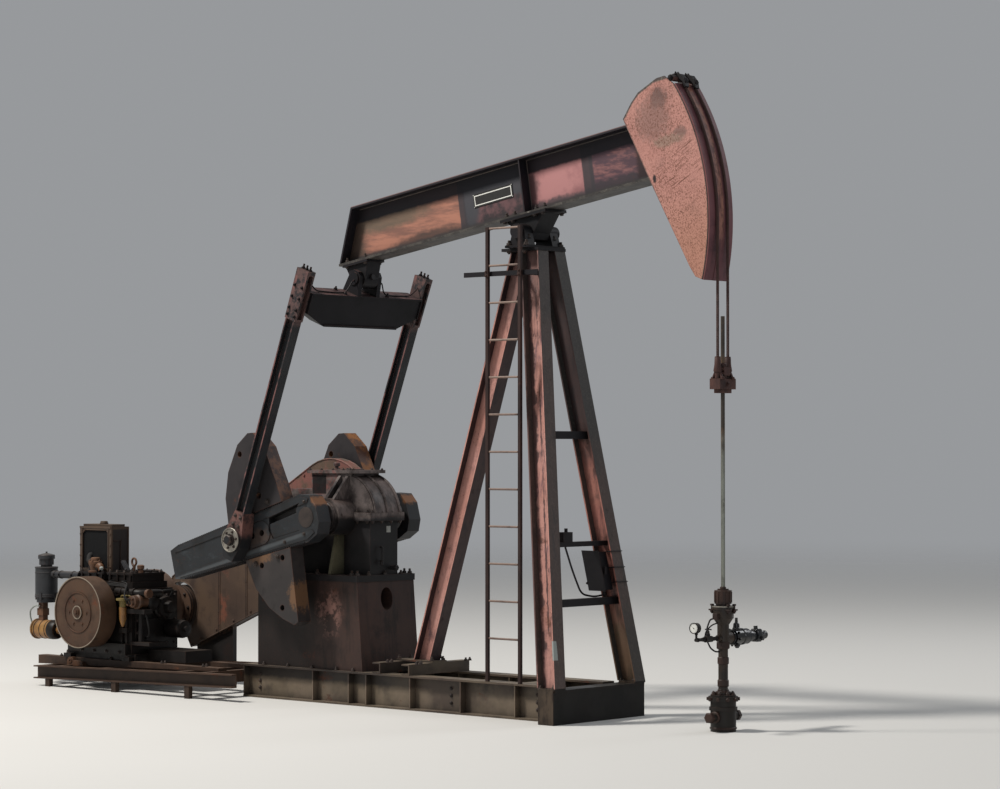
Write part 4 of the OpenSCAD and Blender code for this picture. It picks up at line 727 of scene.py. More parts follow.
WEAR = {
    "skid_beams": "skid", "front_cross_beam": "front", "skid_cross_beams": "skid", "rear_leg_channels": "skid",
    "post_leg_near": "leg", "post_leg_far": "far_leg", "post_leg_rear": "leg", "post_braces": "black",
    "post_cap": "black", "saddle_bearing": "black", "ladder_stiles": "ladder", "ladder_rungs": "rung",
    "control_boxes": "black", "gearbox_pedestal": "pedestal", "gearbox_lower": "gear", "gearbox_upper": "gear",
    "belt_guard": "guard", "engine_rails": "rail", "engine_cross_members": "rail", "engine_bearers": "rail",
    "engine_block": "engine",
    "cylinder_head": "engine", "clutch_housing": "brown", "radiator": "radiator", "air_filter": "filter",
    "oil_filter": "orange", "flywheel": "wheel", "casing_head": "well", "pumping_tee": "tubing",
    "stuffing_box": "stuff", "flow_valve": "valve", "pressure_gauge": "well", "walking_beam": "pink",
    "saddle_shaft": "black", "tail_bearing": "black", "head_plates": "head", "head_face": "face",
    "bridle_wrap": "rope", "equalizer": "equal", "pitman_near": "pitman", "pitman_far": "pitman",
    "wrist_bearing_near": "wrist", "wrist_bearing_far": "wrist", "crank_near": "crank", "crank_far": "crank",
    "crank_shaft": "bright", "weight_near_upper": "weight", "weight_near_lower": "weight",
    "weight_far_upper": "weight", "weight_far_lower": "weight", "polished_rod": "rod", "carrier_bar": "socket",
    "bridle_fall": "rope",
}
for name, o in nodes.items():
    key = WEAR.get(name, "black")
    for s in o.material_slots:
        s.material = M[key]
    if not o.material_slots:
        o.data.materials.append(M[key])


# Mesh helpers.
def add_box(bm, x0, x1, y0, y1, z0, z1, at=HERE):
    """A box between two corners."""
    m = at @ Matrix.Translation(((x0 + x1) / 2, (y0 + y1) / 2, (z0 + z1) / 2)) @ Matrix.Diagonal(
        (abs(x1 - x0), abs(y1 - y0), abs(z1 - z0), 1))
    bmesh.ops.create_cube(bm, size=1, matrix=m)


def aim(p, q):
    """Matrix with Z along p to q and its origin at p."""
    d = Vector(q) - Vector(p)
    return Matrix.Translation(p) @ d.to_track_quat("Z", "Y").to_matrix().to_4x4()


def add_rod(bm, p, q, r, r2=None, sides=20, at=HERE):
    """A round bar, or a cone, from p to q."""
    length = (Vector(q) - Vector(p)).length
    bmesh.ops.create_cone(bm, cap_ends=True, segments=sides, radius1=r, radius2=r if r2 is None else r2,
                          depth=length, matrix=at @ aim(p, q) @ Matrix.Translation((0, 0, length / 2)))


def circle(bm, m, r, h, sides):
    """A ring of vertices, radius r, at height h in the frame m."""
    return [bm.verts.new(m @ Vector((r * math.cos(2 * math.pi * i / sides), r * math.sin(2 * math.pi * i / sides), h)))
            for i in range(sides)]


def skin(bm, rings, caps=True):
    """Faces between rings of vertices that follow one another and, with caps, over both ends."""
    for a, b in zip(rings, rings[1:]):
        n = len(a)
        for i in range(n):
            bm.faces.new((a[i], a[(i + 1) % n], b[(i + 1) % n], b[i]))
    if caps:
        bm.faces.new(list(reversed(rings[0])))
        bm.faces.new(rings[-1])


def add_lathe(bm, p, axis, profile, sides=32, at=HERE):
    """A turned shape about axis through p. Profile is (along, radius) pairs."""
    m = at @ aim(p, Vector(p) + Vector(axis))
    skin(bm, [circle(bm, m, r, h, sides) for h, r in profile])


def add_ring(bm, p, axis, profile, sides=48, at=HERE):
    """A turned hoop: the closed loop of (along, radius) pairs leaves the middle open."""
    m = at @ aim(p, Vector(p) + Vector(axis))
    rings = [circle(bm, m, r, h, sides) for h, r in profile]
    skin(bm, rings + rings[:1], caps=False)


def add_bolt(bm, p, axis, r=0.014, h=0.011, thread=0.0, at=HERE, turn=0.0):
    """A washer, a chamfered hex and, where it is a stud, its threaded end. r is half the width over corners."""
    a = Vector(axis).normalized()
    p = Vector(p)
    m = at @ aim(p, p + a) @ Matrix.Rotation(turn, 4, "Z")
    w = r * 0.22
    add_lathe(bm, p, a, [(0, r * 1.22), (w * 0.8, r * 1.22), (w, r * 1.12)], 16, at)
    rings = [circle(bm, m, rad, z, 6) for z, rad in ((w, r), (w + h * 0.8, r), (w + h, r * 0.82))]
    skin(bm, rings, caps=False)
    bm.faces.new(rings[-1])
    if thread:
        n = max(2, int(thread / (r * 0.16)))
        prof = []
        for i in range(n):
            z = w + h * 0.9 + thread * i / n
            prof += [(z, r * 0.56), (z + thread / n * 0.5, r * 0.48)]
        prof.append((w + h * 0.9 + thread, r * 0.42))
        add_lathe(bm, p, a, prof, 10, at)


def add_plate(bm, pts, y0, y1, at=HERE):
    """A flat plate: outline in X and Z, between two values of Y."""
    a = [bm.verts.new(at @ Vector((x, y0, z))) for x, z in pts]
    b = [bm.verts.new(at @ Vector((x, y1, z))) for x, z in pts]
    n = len(pts)
    bm.faces.new(a)
    bm.faces.new(list(reversed(b)))
    for i in range(n):
        bm.faces.new((a[(i + 1) % n], a[i], b[i], b[(i + 1) % n]))


def add_tube(bm, path, r, sides=10, at=HERE, smooth=6):
    """A pipe or wire along points, rounded at its corners."""
    pts = [Vector(p) for p in path]
    if smooth:
        out = [pts[0]]
        for a, b, c in zip(pts, pts[1:], pts[2:]):
            cut = min((b - a).length, (c - b).length) * 0.4
            s, e = b + (a - b).normalized() * cut, b + (c - b).normalized() * cut
            for i in range(smooth + 1):
                t = i / smooth
                out.append(s.lerp(b, t).lerp(b.lerp(e, t), t))
        out.append(pts[-1])
        pts = out
    rings = []
    side = None
    for i, p in enumerate(pts):
        d = (pts[min(i + 1, len(pts) - 1)] - pts[max(i - 1, 0)]).normalized()
        if side is None:
            side = d.orthogonal().normalized()
        side = (side - d * side.dot(d)).normalized()
        other = d.cross(side)
        turns = [2 * math.pi * k / sides for k in range(sides)]
        rings.append([bm.verts.new(at @ (p + r * (side * math.cos(t) + other * math.sin(t)))) for t in turns])
    skin(bm, rings)


def add_weld(bm, p, q, r=0.006, at=HERE, seed=0):
    """A rippled weld bead from p to q."""
    p, q = Vector(p), Vector(q)
    length = (q - p).length
    n = max(2, int(length / (r * 1.5)))
    m = at @ aim(p, q)
    rings = []
    for i in range(n + 1):
        z = length * i / n
        w = r * (0.85 + 0.3 * (i % 2) + 0.25 * noise.noise(Vector((z * 30, seed, 0))))
        rings.append(circle(bm, m, w, z, 6))
    skin(bm, rings)


def piece(name, body, mat, build, bevel=0.0, smooth=35, replaces=()):
    """Makes one object from a build function that fills a bmesh."""
    bm = bmesh.new()
    build(bm)
    bmesh.ops.recalc_face_normals(bm, faces=bm.faces)
    me = bpy.data.meshes.new(name)
    bm.to_mesh(me)
    bm.free()
    o = bpy.data.objects.new(name, me)
    bpy.context.scene.collection.objects.link(o)
    me.materials.append(M[mat] if isinstance(mat, str) else mat)
    if smooth:
        me.shade_smooth()
        me.set_sharp_from_angle(angle=math.radians(smooth))
    if bevel:
        b = o.modifiers.new("edge", "BEVEL")
        b.width = bevel
        b.segments = 2
        b.limit_method = "ANGLE"
        b.angle_limit = math.radians(40)
    if body:
        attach(o, body)
    if replaces:
        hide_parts(*replaces)
    return o


# Horse head and ropes.
def rope_points(y, z0, z1, wrap):
    """Points of one bridle rope: straight below the saddle's level, on the head's face above it."""
    pts = []
    if wrap:
        n = 90
        for i in range(n + 1):
            a = math.radians(34.4) * i / n
            pts.append(Vector((ARM * math.cos(a), y, SADDLE + ARM * math.sin(a))))
    else:
        n = 70
        for i in range(n + 1):
            pts.append(Vector((ARM, y, z0 + (z1 - z0) * i / n)))
    return pts


def add_rope(bm, pts, r=0.012, strands=6, pitch=0.075):
    """A wire rope: strands laid round a core along points."""
    total = [0.0]
    for a, b in zip(pts, pts[1:]):
        total.append(total[-1] + (b - a).length)
    fine = []
    step = 0.008
    k = 0
    d = 0.0
    while d < total[-1]:
        while total[k + 1] < d:
            k += 1
        t = (d - total[k]) / (total[k + 1] - total[k])
        fine.append((d, pts[k].lerp(pts[k + 1], t)))
        d += step
    fine.append((total[-1], pts[-1]))
    for s in range(strands):
        rings = []
        for i, (d, p) in enumerate(fine):
            q = fine[min(i + 1, len(fine) - 1)][1] - fine[max(i - 1, 0)][1]
            q.normalize()
            side = Vector((0, 1, 0))
            other = q.cross(side).normalized()
            a = 2 * math.pi * (s / strands + d / pitch)
            c = p + (side * math.cos(a) + other * math.sin(a)) * r * 0.62
            ring = []
            for j in range(5):
                b = 2 * math.pi * j / 5
                ring.append(bm.verts.new(c + (side * math.cos(b) + other * math.sin(b)) * r * 0.40))
            rings.append(ring)
        for x, y in zip(rings, rings[1:]):
            for j in range(5):
                bm.faces.new((x[j], x[(j + 1) % 5], y[(j + 1) % 5], y[j]))
        bm.faces.new(list(reversed(rings[0])))
        bm.faces.new(rings[-1])


def rope_wrap(bm):
    for s in (-1, 1):
        add_rope(bm, rope_points(s * 0.065, 0, 0, True))


def rope_fall(bm):
    for s in (-1, 1):
        add_rope(bm, list(reversed(rope_points(s * 0.065, 2.915, SADDLE, False))))


o = piece("bridle_rope_wrap", None, "rope", rope_wrap, smooth=60)
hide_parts("bridle_wrap")
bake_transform(o)
o = piece("bridle_rope_fall", None, "rope", rope_fall, smooth=60)
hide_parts("bridle_fall")
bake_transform(o)

FACE_R = 1.9275


def arc_pt(r, deg):
    a = math.radians(deg)
    return r * math.cos(a), r * math.sin(a)


def head_trim(bm):
    """Welds where the face meets the side plates."""
    for s in (-1, 1):
        y = s * 0.150
        pts = [arc_pt(FACE_R - 0.016, -23 + i * 48.5 / 40) for i in range(41)]
        for a, b in zip(pts, pts[1:]):
            add_weld(bm, (a[0], y, a[1]), (b[0], y, b[1]), 0.0045, ON_BEAM)


piece("head_welds", "walking_beam", "weld", head_trim)


def rope_anchor(bm):
    """The hooked clamps over the head's top, where the ropes end behind the anchor bar."""
    at = ON_BEAM
    ax, az = FACE_R - 0.225, 0.882
    for s in (-1, 1):
        y = s * 0.065
        hook = [(ax - 0.045, az + 0.012), (ax - 0.030, az + 0.036), (ax + 0.010, az + 0.040), (ax + 0.055, az + 0.022),
                (ax + 0.085, az - 0.030), (ax + 0.088, az - 0.085), (ax + 0.070, az - 0.092), (ax + 0.062, az - 0.040),
                (ax + 0.036, az - 0.006), (ax + 0.005, az + 0.012), (ax - 0.020, az + 0.004)]
        add_plate(bm, hook, y - 0.024, y + 0.024, at)
        add_lathe(bm, (ax + 0.020, y, az + 0.004), (0.80, 0, -0.60),
                  [(0, 0.020), (0.015, 0.024), (0.075, 0.024), (0.090, 0.016)], 18, at)
        for k in (-0.016, 0.016):
            add_bolt(bm, (ax + 0.002, y + k, az + 0.039), (-0.1, 0, 1), 0.010, 0.008, 0.008, at)
        add_rod(bm, (ax, s * 0.139, az), (ax, s * 0.158, az), 0.020, at=at)
        add_bolt(bm, (ax, s * 0.150, az), (0, s, 0), 0.022, 0.014, 0.006, at)
    add_box(bm, ax - 0.012, ax + 0.012, -0.110, 0.110, az + 0.024, az + 0.036, at)


piece("rope_anchor", "walking_beam", "black", rope_anchor, 0.002)


# Walking beam.
PLATE_AT = ON_BEAM @ Matrix.Translation((-0.400, 0, 0.396)) @ Matrix.Rotation(math.radians(-0.4), 4, "Y")
PLATE_W, PLATE_H = 0.445, 0.114


def beam_plate(bm):
    """A blank black enamel plate on the web's near side."""
    add_box(bm, -PLATE_W / 2, PLATE_W / 2, -0.012, -0.0075, -PLATE_H / 2, PLATE_H / 2, PLATE_AT)


piece("beam_plate", "walking_beam", "ink", beam_plate, 0.001)


def plate_lines(bm):
    """The plate's white inner line and its four rivets."""
    y = -0.012
    t = 0.008
    w, h = PLATE_W / 2 - 0.013, PLATE_H / 2 - 0.013
    for a in ((-w, w, -h, -h + t), (-w, w, h - t, h), (-w, -w + t, -h + t, h - t), (w - t, w, -h + t, h - t)):
        add_box(bm, a[0], a[1], y - 0.0008, y + 0.001, a[2], a[3], PLATE_AT)
    for i in (-1, 1):
        for k in (-1, 1):
            add_lathe(bm, (i * (PLATE_W / 2 - 0.007), y, k * (PLATE_H / 2 - 0.007)), NEAR,
                      [(0, 0.004), (0.002, 0.004), (0.003, 0.002)], 10, PLATE_AT)


piece("beam_plate_lines", "walking_beam", "plate", plate_lines)


def beam_bolts(bm):
    """Bolts of both bearings and of the head."""
    at = ON_BEAM
    for s in (-1, 1):
        for x in (-0.21, -0.12, 0.12, 0.21):
            add_bolt(bm, (x, s * 0.085, 0.165), UP, 0.019, 0.016, 0.018, at)
            add_bolt(bm, (x, s * 0.118, 0.120), DOWN, 0.017, 0.012, 0.0, at)
        for x in (-REAR - 0.11, -REAR + 0.11):
            add_bolt(bm, (x, s * 0.078, 0.165), UP, 0.019, 0.016, 0.020, at)
            add_bolt(bm, (x, s * 0.088, 0.125), DOWN, 0.017, 0.012, 0.0, at)
    for y in (-0.055, 0.055):
        for z in (0.20, 0.32, 0.44, 0.56):
            add_bolt(bm, (1.516, y, z), AHEAD, 0.014, 0.010, 0.008, at)


piece("beam_bolts", "walking_beam", "bolt", beam_bolts)


def beam_welds(bm):
    """Beads of the middle stiffener and along the web's two long edges."""
    at = ON_BEAM
    for s in (-1, 1):
        add_weld(bm, (-0.006, s * 0.0085, 0.170), (-0.006, s * 0.0085, 0.605), 0.005, at, -0.006)
        add_weld(bm, (0.006, s * 0.0085, 0.170), (0.006, s * 0.0085, 0.605), 0.005, at, 0.994)
    for s in (-1, 1):
        add_weld(bm, (-2.15, s * 0.009, 0.166), (1.49, s * 0.009, 0.166), 0.006, at, 3)
        add_weld(bm, (-1.95, s * 0.009, 0.609), (1.49, s * 0.009, 0.609), 0.006, at, 4)


piece("beam_welds", "walking_beam", "weld", beam_welds)


# Small parts.
def bolt_row(bm, spots, axis, r=0.014, h=0.011, thread=0.008, at=HERE):
    """The same bolt at each of several places."""
    for i, p in enumerate(spots):
        add_bolt(bm, p, axis, r, h, thread, at, turn=0.7 * i)


def ring_of(centre, axis, radius, count, start=0.0):
    """Places evenly round a circle."""
    m = aim(centre, Vector(centre) + Vector(axis))
    return [m @ Vector((radius * math.cos(2 * math.pi * i / count + start),
                        radius * math.sin(2 * math.pi * i / count + start), 0))
            for i in range(count)]


def add_hex(bm, p, axis, profile, at=HERE):
    """A hexagonal turned shape, such as a nut or a union."""
    add_lathe(bm, p, axis, profile, 6, at)


CAP_Z = SADDLE - 0.135


def post_bolts(bm):
    """Bolts of the saddle bearing, the post cap, the leg feet and the rear leg's stool."""
    for s in (-1, 1):
        bolt_row(bm, [(x, s * 0.216, CAP_Z + 0.020) for x in (-0.095, 0.095)], UP, 0.022, 0.018, 0.022)
        bolt_row(bm, [(x, s * 0.216, CAP_Z - 0.024) for x in (-0.095, 0.075)], DOWN, 0.020, 0.014, 0.010)
        bolt_row(bm, [(x, s * 0.160, SADDLE - 0.055) for x in (-0.070, 0.070)], UP, 0.018,
                 0.014, 0.016)
        for x in (0.540, 0.680):
            for y in (0.455, 0.555):
                add_bolt(bm, (x, s * y, 0.276 if x < 0.60 else 0.290), UP, 0.017, 0.014, 0.018)
    for x in (-1.48, -1.10):
        bolt_row(bm, [(x, y, 0.396) for y in (-0.07, 0.07)], UP, 0.017, 0.014, 0.018)
    for x in (-1.365, -1.025):
        for y in (-0.33, -0.28, 0.28, 0.33):
            add_bolt(bm, (x - 0.005, y, 0.382), UP, 0.016, 0.012, 0.014)


piece("post_bolts", "base", "bolt", post_bolts)


def ladder_clips(bm):
    """Clips and bolts that hold the ladder to its bracket and the rungs' ends."""
    z = SADDLE + 0.020 - 0.370
    for x in (-0.2025, 0.1525):
        add_box(bm, x - 0.019, x + 0.019, -0.3765, -0.3735, z - 0.026, z + 0.026)
        bolt_row(bm, [(x, -0.3765, z + k) for k in (-0.017, 0.017)], NEAR, 0.009, 0.007, 0.005)
    for i in range(12):
        for x in (-0.190, 0.140):
            s = 1 if x > 0 else -1
            add_weld(bm, (x - 0.002 * s, -0.369, SADDLE + 0.020 - 0.305 * i),
                     (x - 0.002 * s, -0.351, SADDLE + 0.020 - 0.305 * i), 0.0105, seed=i)


piece("ladder_clips", "base", "ladder", ladder_clips)


LEG_FOOT, LEG_TOP = Vector((0.610, 0.505, 0.290)), Vector((0.085, 0.105, CAP_Z - 0.024))


def leg_at(z):
    """The far front leg's middle at a height."""
    t = (z - LEG_FOOT.z) / (LEG_TOP.z - LEG_FOOT.z)
    return LEG_FOOT.lerp(LEG_TOP, t)


def control_fittings(bm):
    """Straps round the far leg, the control box's latch and hinges, and its conduit."""
    for z in (1.345, 1.215, 1.095):
        c = leg_at(z)
        path = [(c.x + i * 0.099, c.y + k * 0.069, z + 0.01 * i) for i, k in ((-1, -1), (1, -1), (1, 1), (-1, 1))]
        for a, b in zip(path, path[1:] + path[:1]):
            add_rod(bm, a, b, 0.004, sides=8)
    c = leg_at(1.20)
    y = c.y - 0.065 - 0.112
    bolt_row(bm, [(c.x - 0.118, y + 0.02, 1.31), (c.x - 0.118, y + 0.02, 1.09)], BACK, 0.009, 0.008, 0.0)
    add_box(bm, c.x + 0.052, c.x + 0.060, y + 0.030, y + 0.055, 1.17, 1.23)
    top = leg_at(1.46)
    path = [(top.x + 0.004, -0.150, 1.452), (top.x + 0.018, -0.150, 1.40), (top.x + 0.020, -0.06, 1.20),
            (top.x + 0.02, 0.05, 1.01),
            (top.x + 0.03, 0.20, 0.985), (c.x + 0.03, y + 0.06, 1.00), (c.x + 0.03, y + 0.06, 1.035)]
    add_tube(bm, path, 0.008, 10)


piece("control_fittings", "base", "black", control_fittings)


# Gearbox.
def gearbox_bolts(bm):
    """Bolts of the joint flange, the foot, the top cover and the bearing caps."""
    near = [(-2.93 + 0.118 * i, 0.190) for i in range(11) if abs(-2.93 + 0.118 * i + 2.05) > 0.17]
    for s in (-1, 1):
        for x, y in near:
            add_bolt(bm, (x, s * y, 1.644), UP, 0.015, 0.012, 0.012)
            add_bolt(bm, (x, s * y, 1.572), DOWN, 0.015, 0.012, 0.010)
        bolt_row(bm, [(x, s * 0.178, 2.008) for x in (-2.46, -2.32, -2.18, -2.05, -1.93)], UP, 0.011, 0.009, 0.006)
        bolt_row(bm, [(x, s * y, 1.106) for x in (-2.90, -2.55, -2.22, -1.80, -1.735) for y in (0.325,)], UP, 0.020,
                 0.016, 0.024)
        bolt_row(bm, ring_of((-2.05, s * 0.420, 1.608), (0, s, 0), 0.112, 8, 0.39), (0, s, 0), 0.012, 0.010, 0.006)
        bolt_row(bm, [(-2.05 + k * 0.150, s * 0.36, 1.618) for k in (-1, 1)], UP, 0.014, 0.012, 0.012)
    for y in (-0.17, -0.06, 0.06, 0.17):
        add_bolt(bm, (-1.706, y, 1.644), UP, 0.015, 0.012, 0.012)
        add_bolt(bm, (-1.706, y, 1.572), DOWN, 0.015, 0.012, 0.010)
    bolt_row(bm, [(-1.722, y, 1.106) for y in (-0.20, 0.0, 0.20)], UP, 0.018, 0.014, 0.018)


piece("gearbox_bolts", "base", "bolt", gearbox_bolts)


def gearbox_trim(bm):
    """Ridges over the big gear's dome, the bearing caps, a level gauge, a drain and a breather."""
    for y in (-0.150, 0.150, 0.0):
        pts = [(0.363 * math.cos(math.radians(a)) - 2.05, 0.363 * math.sin(math.radians(a)) + 1.608)
               for a in range(6, 79, 4)]
        for a, b in zip(pts, pts[1:]):
            add_rod(bm, (a[0], y, a[1]), (b[0], y, b[1]), 0.012, sides=8)
    for s in (-1, 1):
        add_lathe(bm, (-2.05, s * 0.418, 1.608), (0, s, 0),
                  [(0, 0.130), (0.012, 0.130), (0.018, 0.122), (0.020, 0.082), (0.026, 0.080)], 40)
    add_lathe(bm, (-2.75, -0.228, 1.608), NEAR,
              [(0, 0.078), (0.016, 0.078), (0.022, 0.070), (0.022, 0.030), (0.034, 0.026)], 32)
    bolt_row(bm, ring_of((-2.75, -0.250, 1.608), NEAR, 0.056, 6), NEAR, 0.009, 0.008, 0.004)
    add_tube(bm, [(-1.722, -0.060, 1.345), (-1.690, -0.060, 1.345), (-1.690, -0.060, 1.225), (-1.722, -0.060, 1.225)],
             0.009, 10)
    add_lathe(bm, (-1.700, -0.060, 1.225), DOWN, [(0.004, 0.014), (0.03, 0.014), (0.034, 0.008)], 14)
    add_rod(bm, (-1.722, 0.075, 1.165), (-1.668, 0.075, 1.165), 0.020, sides=20)
    add_hex(bm, (-1.668, 0.075, 1.165), AHEAD, [(0, 0.026), (0.020, 0.026), (0.024, 0.020)])
    add_rod(bm, (-2.36, 0.05, 2.008), (-2.36, 0.05, 2.040), 0.016)
    add_lathe(bm, (-2.36, 0.05, 2.040), UP, [(0, 0.030), (0.026, 0.030), (0.034, 0.022)], 20)
    add_box(bm, -2.27, -2.06, -0.09, 0.09, 2.006, 2.016)
    bolt_row(bm, [(x, y, 2.016) for x in (-2.25, -2.08) for y in (-0.072, 0.072)], UP, 0.009, 0.007, 0.0)


piece("gearbox_trim", "base", "gear", gearbox_trim, 0.002)


def gearbox_label(bm):
    """A pale blank patch on the end of the case."""
    add_box(bm, -1.7355, -1.7330, 0.032, 0.082, 1.470, 1.525)


piece("gearbox_label", "base", "patch", gearbox_label)


# Cranks, pitmans and equalizer.
def crank_webs(bm):
    """The flat web beside the long slot of each crank."""
    outline = [(-0.107, -0.088), (-0.107, 0.066), (-0.457, 0.052), (-0.470, 0.0), (-0.444, -0.080)]
    for s in (-1, 1):
        add_plate(bm, outline, s * 0.564, s * 0.624, ON_CRANK)


piece("crank_webs", "cranks", "crank", crank_webs, 0.003)


def crank_bolts(bm):
    """Clamp studs, plugs and the bolts that hold the weights on the toothed rails."""
    for s in (-1, 1):
        bolt_row(bm, [(-0.05, s * 0.640, -0.134), (-0.30, s * 0.640, -0.145), (0.02, s * 0.640, 0.134)], (0, s, 0),
                 0.013, 0.009, 0.006, ON_CRANK)
        add_lathe(bm, (0, s * 0.632, 0), (0, s, 0), [(0, 0.088), (0.004, 0.088), (0.006, 0.080)], 36, ON_CRANK)
        for k in (-1, 1):
            for x in (-0.70, -0.42):
                add_bolt(bm, (x, s * 0.6375, k * 0.245), (0, s, 0), 0.022, 0.014, 0.010, ON_CRANK)


piece("crank_bolts", "cranks", "bolt", crank_bolts)


def wrist_trim(bm):
    """Cap ring, bolts, castle nut and split pin of each wrist bearing."""
    z = -PIT
    for s in (-1, 1):
        y = s * 0.796
        bolt_row(bm, ring_of((0, y, z), (0, s, 0), 0.074, 6, 0.5), (0, s, 0), 0.011, 0.009, 0.006, ON_PITMAN)
        add_hex(bm, (0, s * 0.812, z), (0, s, 0), [(0, 0.046), (0.020, 0.046), (0.026, 0.040)], ON_PITMAN)
        add_rod(bm, (-0.045, s * 0.834, z + 0.004), (0.045, s * 0.834, z + 0.004), 0.0035, sides=8, at=ON_PITMAN)
        bolt_row(bm, [(x, s * 0.774, z + k) for x in (-0.034, 0.034) for k in (0.135, 0.215)], (0, s, 0), 0.014, 0.010,
                 0.008, ON_PITMAN)


piece("wrist_trim", "pitmans", "bolt", wrist_trim)


def wrist_rings(bm):
    """The rubbed rim of each wrist bearing's cap."""
    for s in (-1, 1):
        add_lathe(bm, (0, s * 0.7955, -PIT), (0, s, 0),
                  [(0, 0.1065), (0.006, 0.1065), (0.008, 0.104), (0.006, 0.098), (0.001, 0.096)], 48, ON_PITMAN)


piece("wrist_rings", "pitmans", "bright", wrist_rings)


def equalizer_fittings(bm):
    """Studs over the pitmans' heads, ribs under the tail bearing, and grease pipes."""
    for s in (-1, 1):
        y = s * 0.728
        for x in (-0.044, 0.0, 0.044):
            add_bolt(bm, (x, y, 0.048), UP, 0.017, 0.014, 0.026, ON_PITMAN)
        for x in (-0.046, 0.046):
            for z in (-0.36, -0.30, -0.20, -0.10):
                add_bolt(bm, (x, s * 0.773, z), (0, s, 0), 0.013, 0.010, 0.006, ON_PITMAN)
        for x in (-0.065, 0.065):
            add_bolt(bm, (x, s * 0.26, -0.130), UP, 0.017, 0.014, 0.016, ON_PITMAN)
        add_tube(bm,
                 [(0.02, s * 0.150, -0.01), (0.035, s * 0.185, -0.02), (0.045, s * 0.235, -0.118),
                  (0.045, s * 0.36, -0.124),
                      (0.03, s * 0.58, -0.122), (0.02, s * 0.645, -0.075), (0.01, s * 0.674, -0.05)], 0.006, 8,
                      ON_PITMAN)
        for x in (-0.40, 0.40):
            add_box(bm, -0.086, 0.086, s * abs(x) - 0.006, s * abs(x) + 0.006, -0.40, -0.148, ON_PITMAN)


piece("equalizer_fittings", "pitmans", "equal", equalizer_fittings)


# Wellhead.
def well_ring(bm, profile, z, sides=40):
    """A hoop on the wellhead that leaves the rod's bore open."""
    inner = min(r for h, r in profile) - 0.012
    add_ring(bm, (ARM, 0, z), UP, [(profile[0][0], inner)] + profile + [(profile[-1][0], inner)], sides)


def casing_fittings(bm):
    """Cap screws, tubing hanger and side plugs of the casing head."""
    bolt_row(bm, ring_of((ARM, 0, 0.285), UP, 0.080, 8, 0.3), UP, 0.016, 0.014, 0.010)
    well_ring(bm, [(0, 0.062), (0.022, 0.062), (0.026, 0.056), (0.026, 0.046), (0.040, 0.044)], 0.285)
    for i, p in enumerate(ring_of((ARM, 0, 0.254), UP, 0.113, 10)):
        out = (Vector(p) - Vector((ARM, 0, 0.254))).normalized()
        add_bolt(bm, p, out, 0.014, 0.014, 0.0, turn=i)
    for s in (-1, 1):
        add_hex(bm, (ARM, s * 0.158, 0.115), (0, s, 0), [(0, 0.044), (0.030, 0.044), (0.036, 0.036)])
        add_lathe(bm, (ARM, s * 0.098, 0.115), (0, s, 0), [(0, 0.046), (0.016, 0.046), (0.020, 0.040)], 24)
    well_ring(bm, [(0, 0.106), (0.012, 0.106), (0.016, 0.1005)], 0.020)
    for z in (0.345, 0.520):
        well_ring(bm, [(0, 0.0385), (0.006, 0.0445), (0.052, 0.0445), (0.058, 0.0385)], z)


piece("casing_fittings", "base", "stuff", casing_fittings, 0.0015)


def stuffing_fittings(bm):
    """Flutes of the stuffing box cap, the flange's bolts and ears, and a union below the tee."""
    for i in range(12):
        a = 2 * math.pi * i / 12
        m = Matrix.Translation((ARM, 0, 0)) @ Matrix.Rotation(a, 4, "Z")
        add_box(bm, 0.062, 0.0705, -0.0075, 0.0075, 1.000, 1.084, m)
    well_ring(bm, [(0, 0.0665), (0.010, 0.070), (0.014, 0.0665)], 1.082)
    well_ring(bm, [(0, 0.024), (0.014, 0.024), (0.018, 0.020)], 1.106)
    for a in (25, 155, 205, 335):
        p = (ARM + 0.088 * math.cos(math.radians(a)), 0.088 * math.sin(math.radians(a)), 0.0)
        add_rod(bm, (p[0], p[1], 0.915), (p[0], p[1], 0.990), 0.009, sides=12)
        add_hex(bm, (p[0], p[1], 0.976), UP, [(0, 0.017), (0.012, 0.017), (0.014, 0.013)])
        add_box(bm, p[0] - 0.020, p[0] + 0.020, p[1] - 0.020, p[1] + 0.020, 0.938, 0.950)
        add_hex(bm, (p[0], p[1], 0.938), DOWN, [(0, 0.017), (0.012, 0.017), (0.014, 0.013)])
    for s in (-1, 1):
        add_box(bm, ARM - 0.022, ARM + 0.022, s * 0.066 if s > 0 else -0.108, 0.108 if s > 0 else s * 0.066, 0.872,
                0.918)
    add_hex(bm, (ARM, 0, 0.640), UP, [(0, 0.050), (0.006, 0.056), (0.052, 0.056), (0.058, 0.050)])


piece("stuffing_fittings", "base", "stuff", stuffing_fittings, 0.001)


def rim_pale(bm):
    """The rubbed rim of the tee flange."""
    well_ring(bm, [(0, 0.0875), (0.007, 0.0875), (0.008, 0.086)], 0.9665, 48)


piece("flange_rim", "base", "bright", rim_pale)


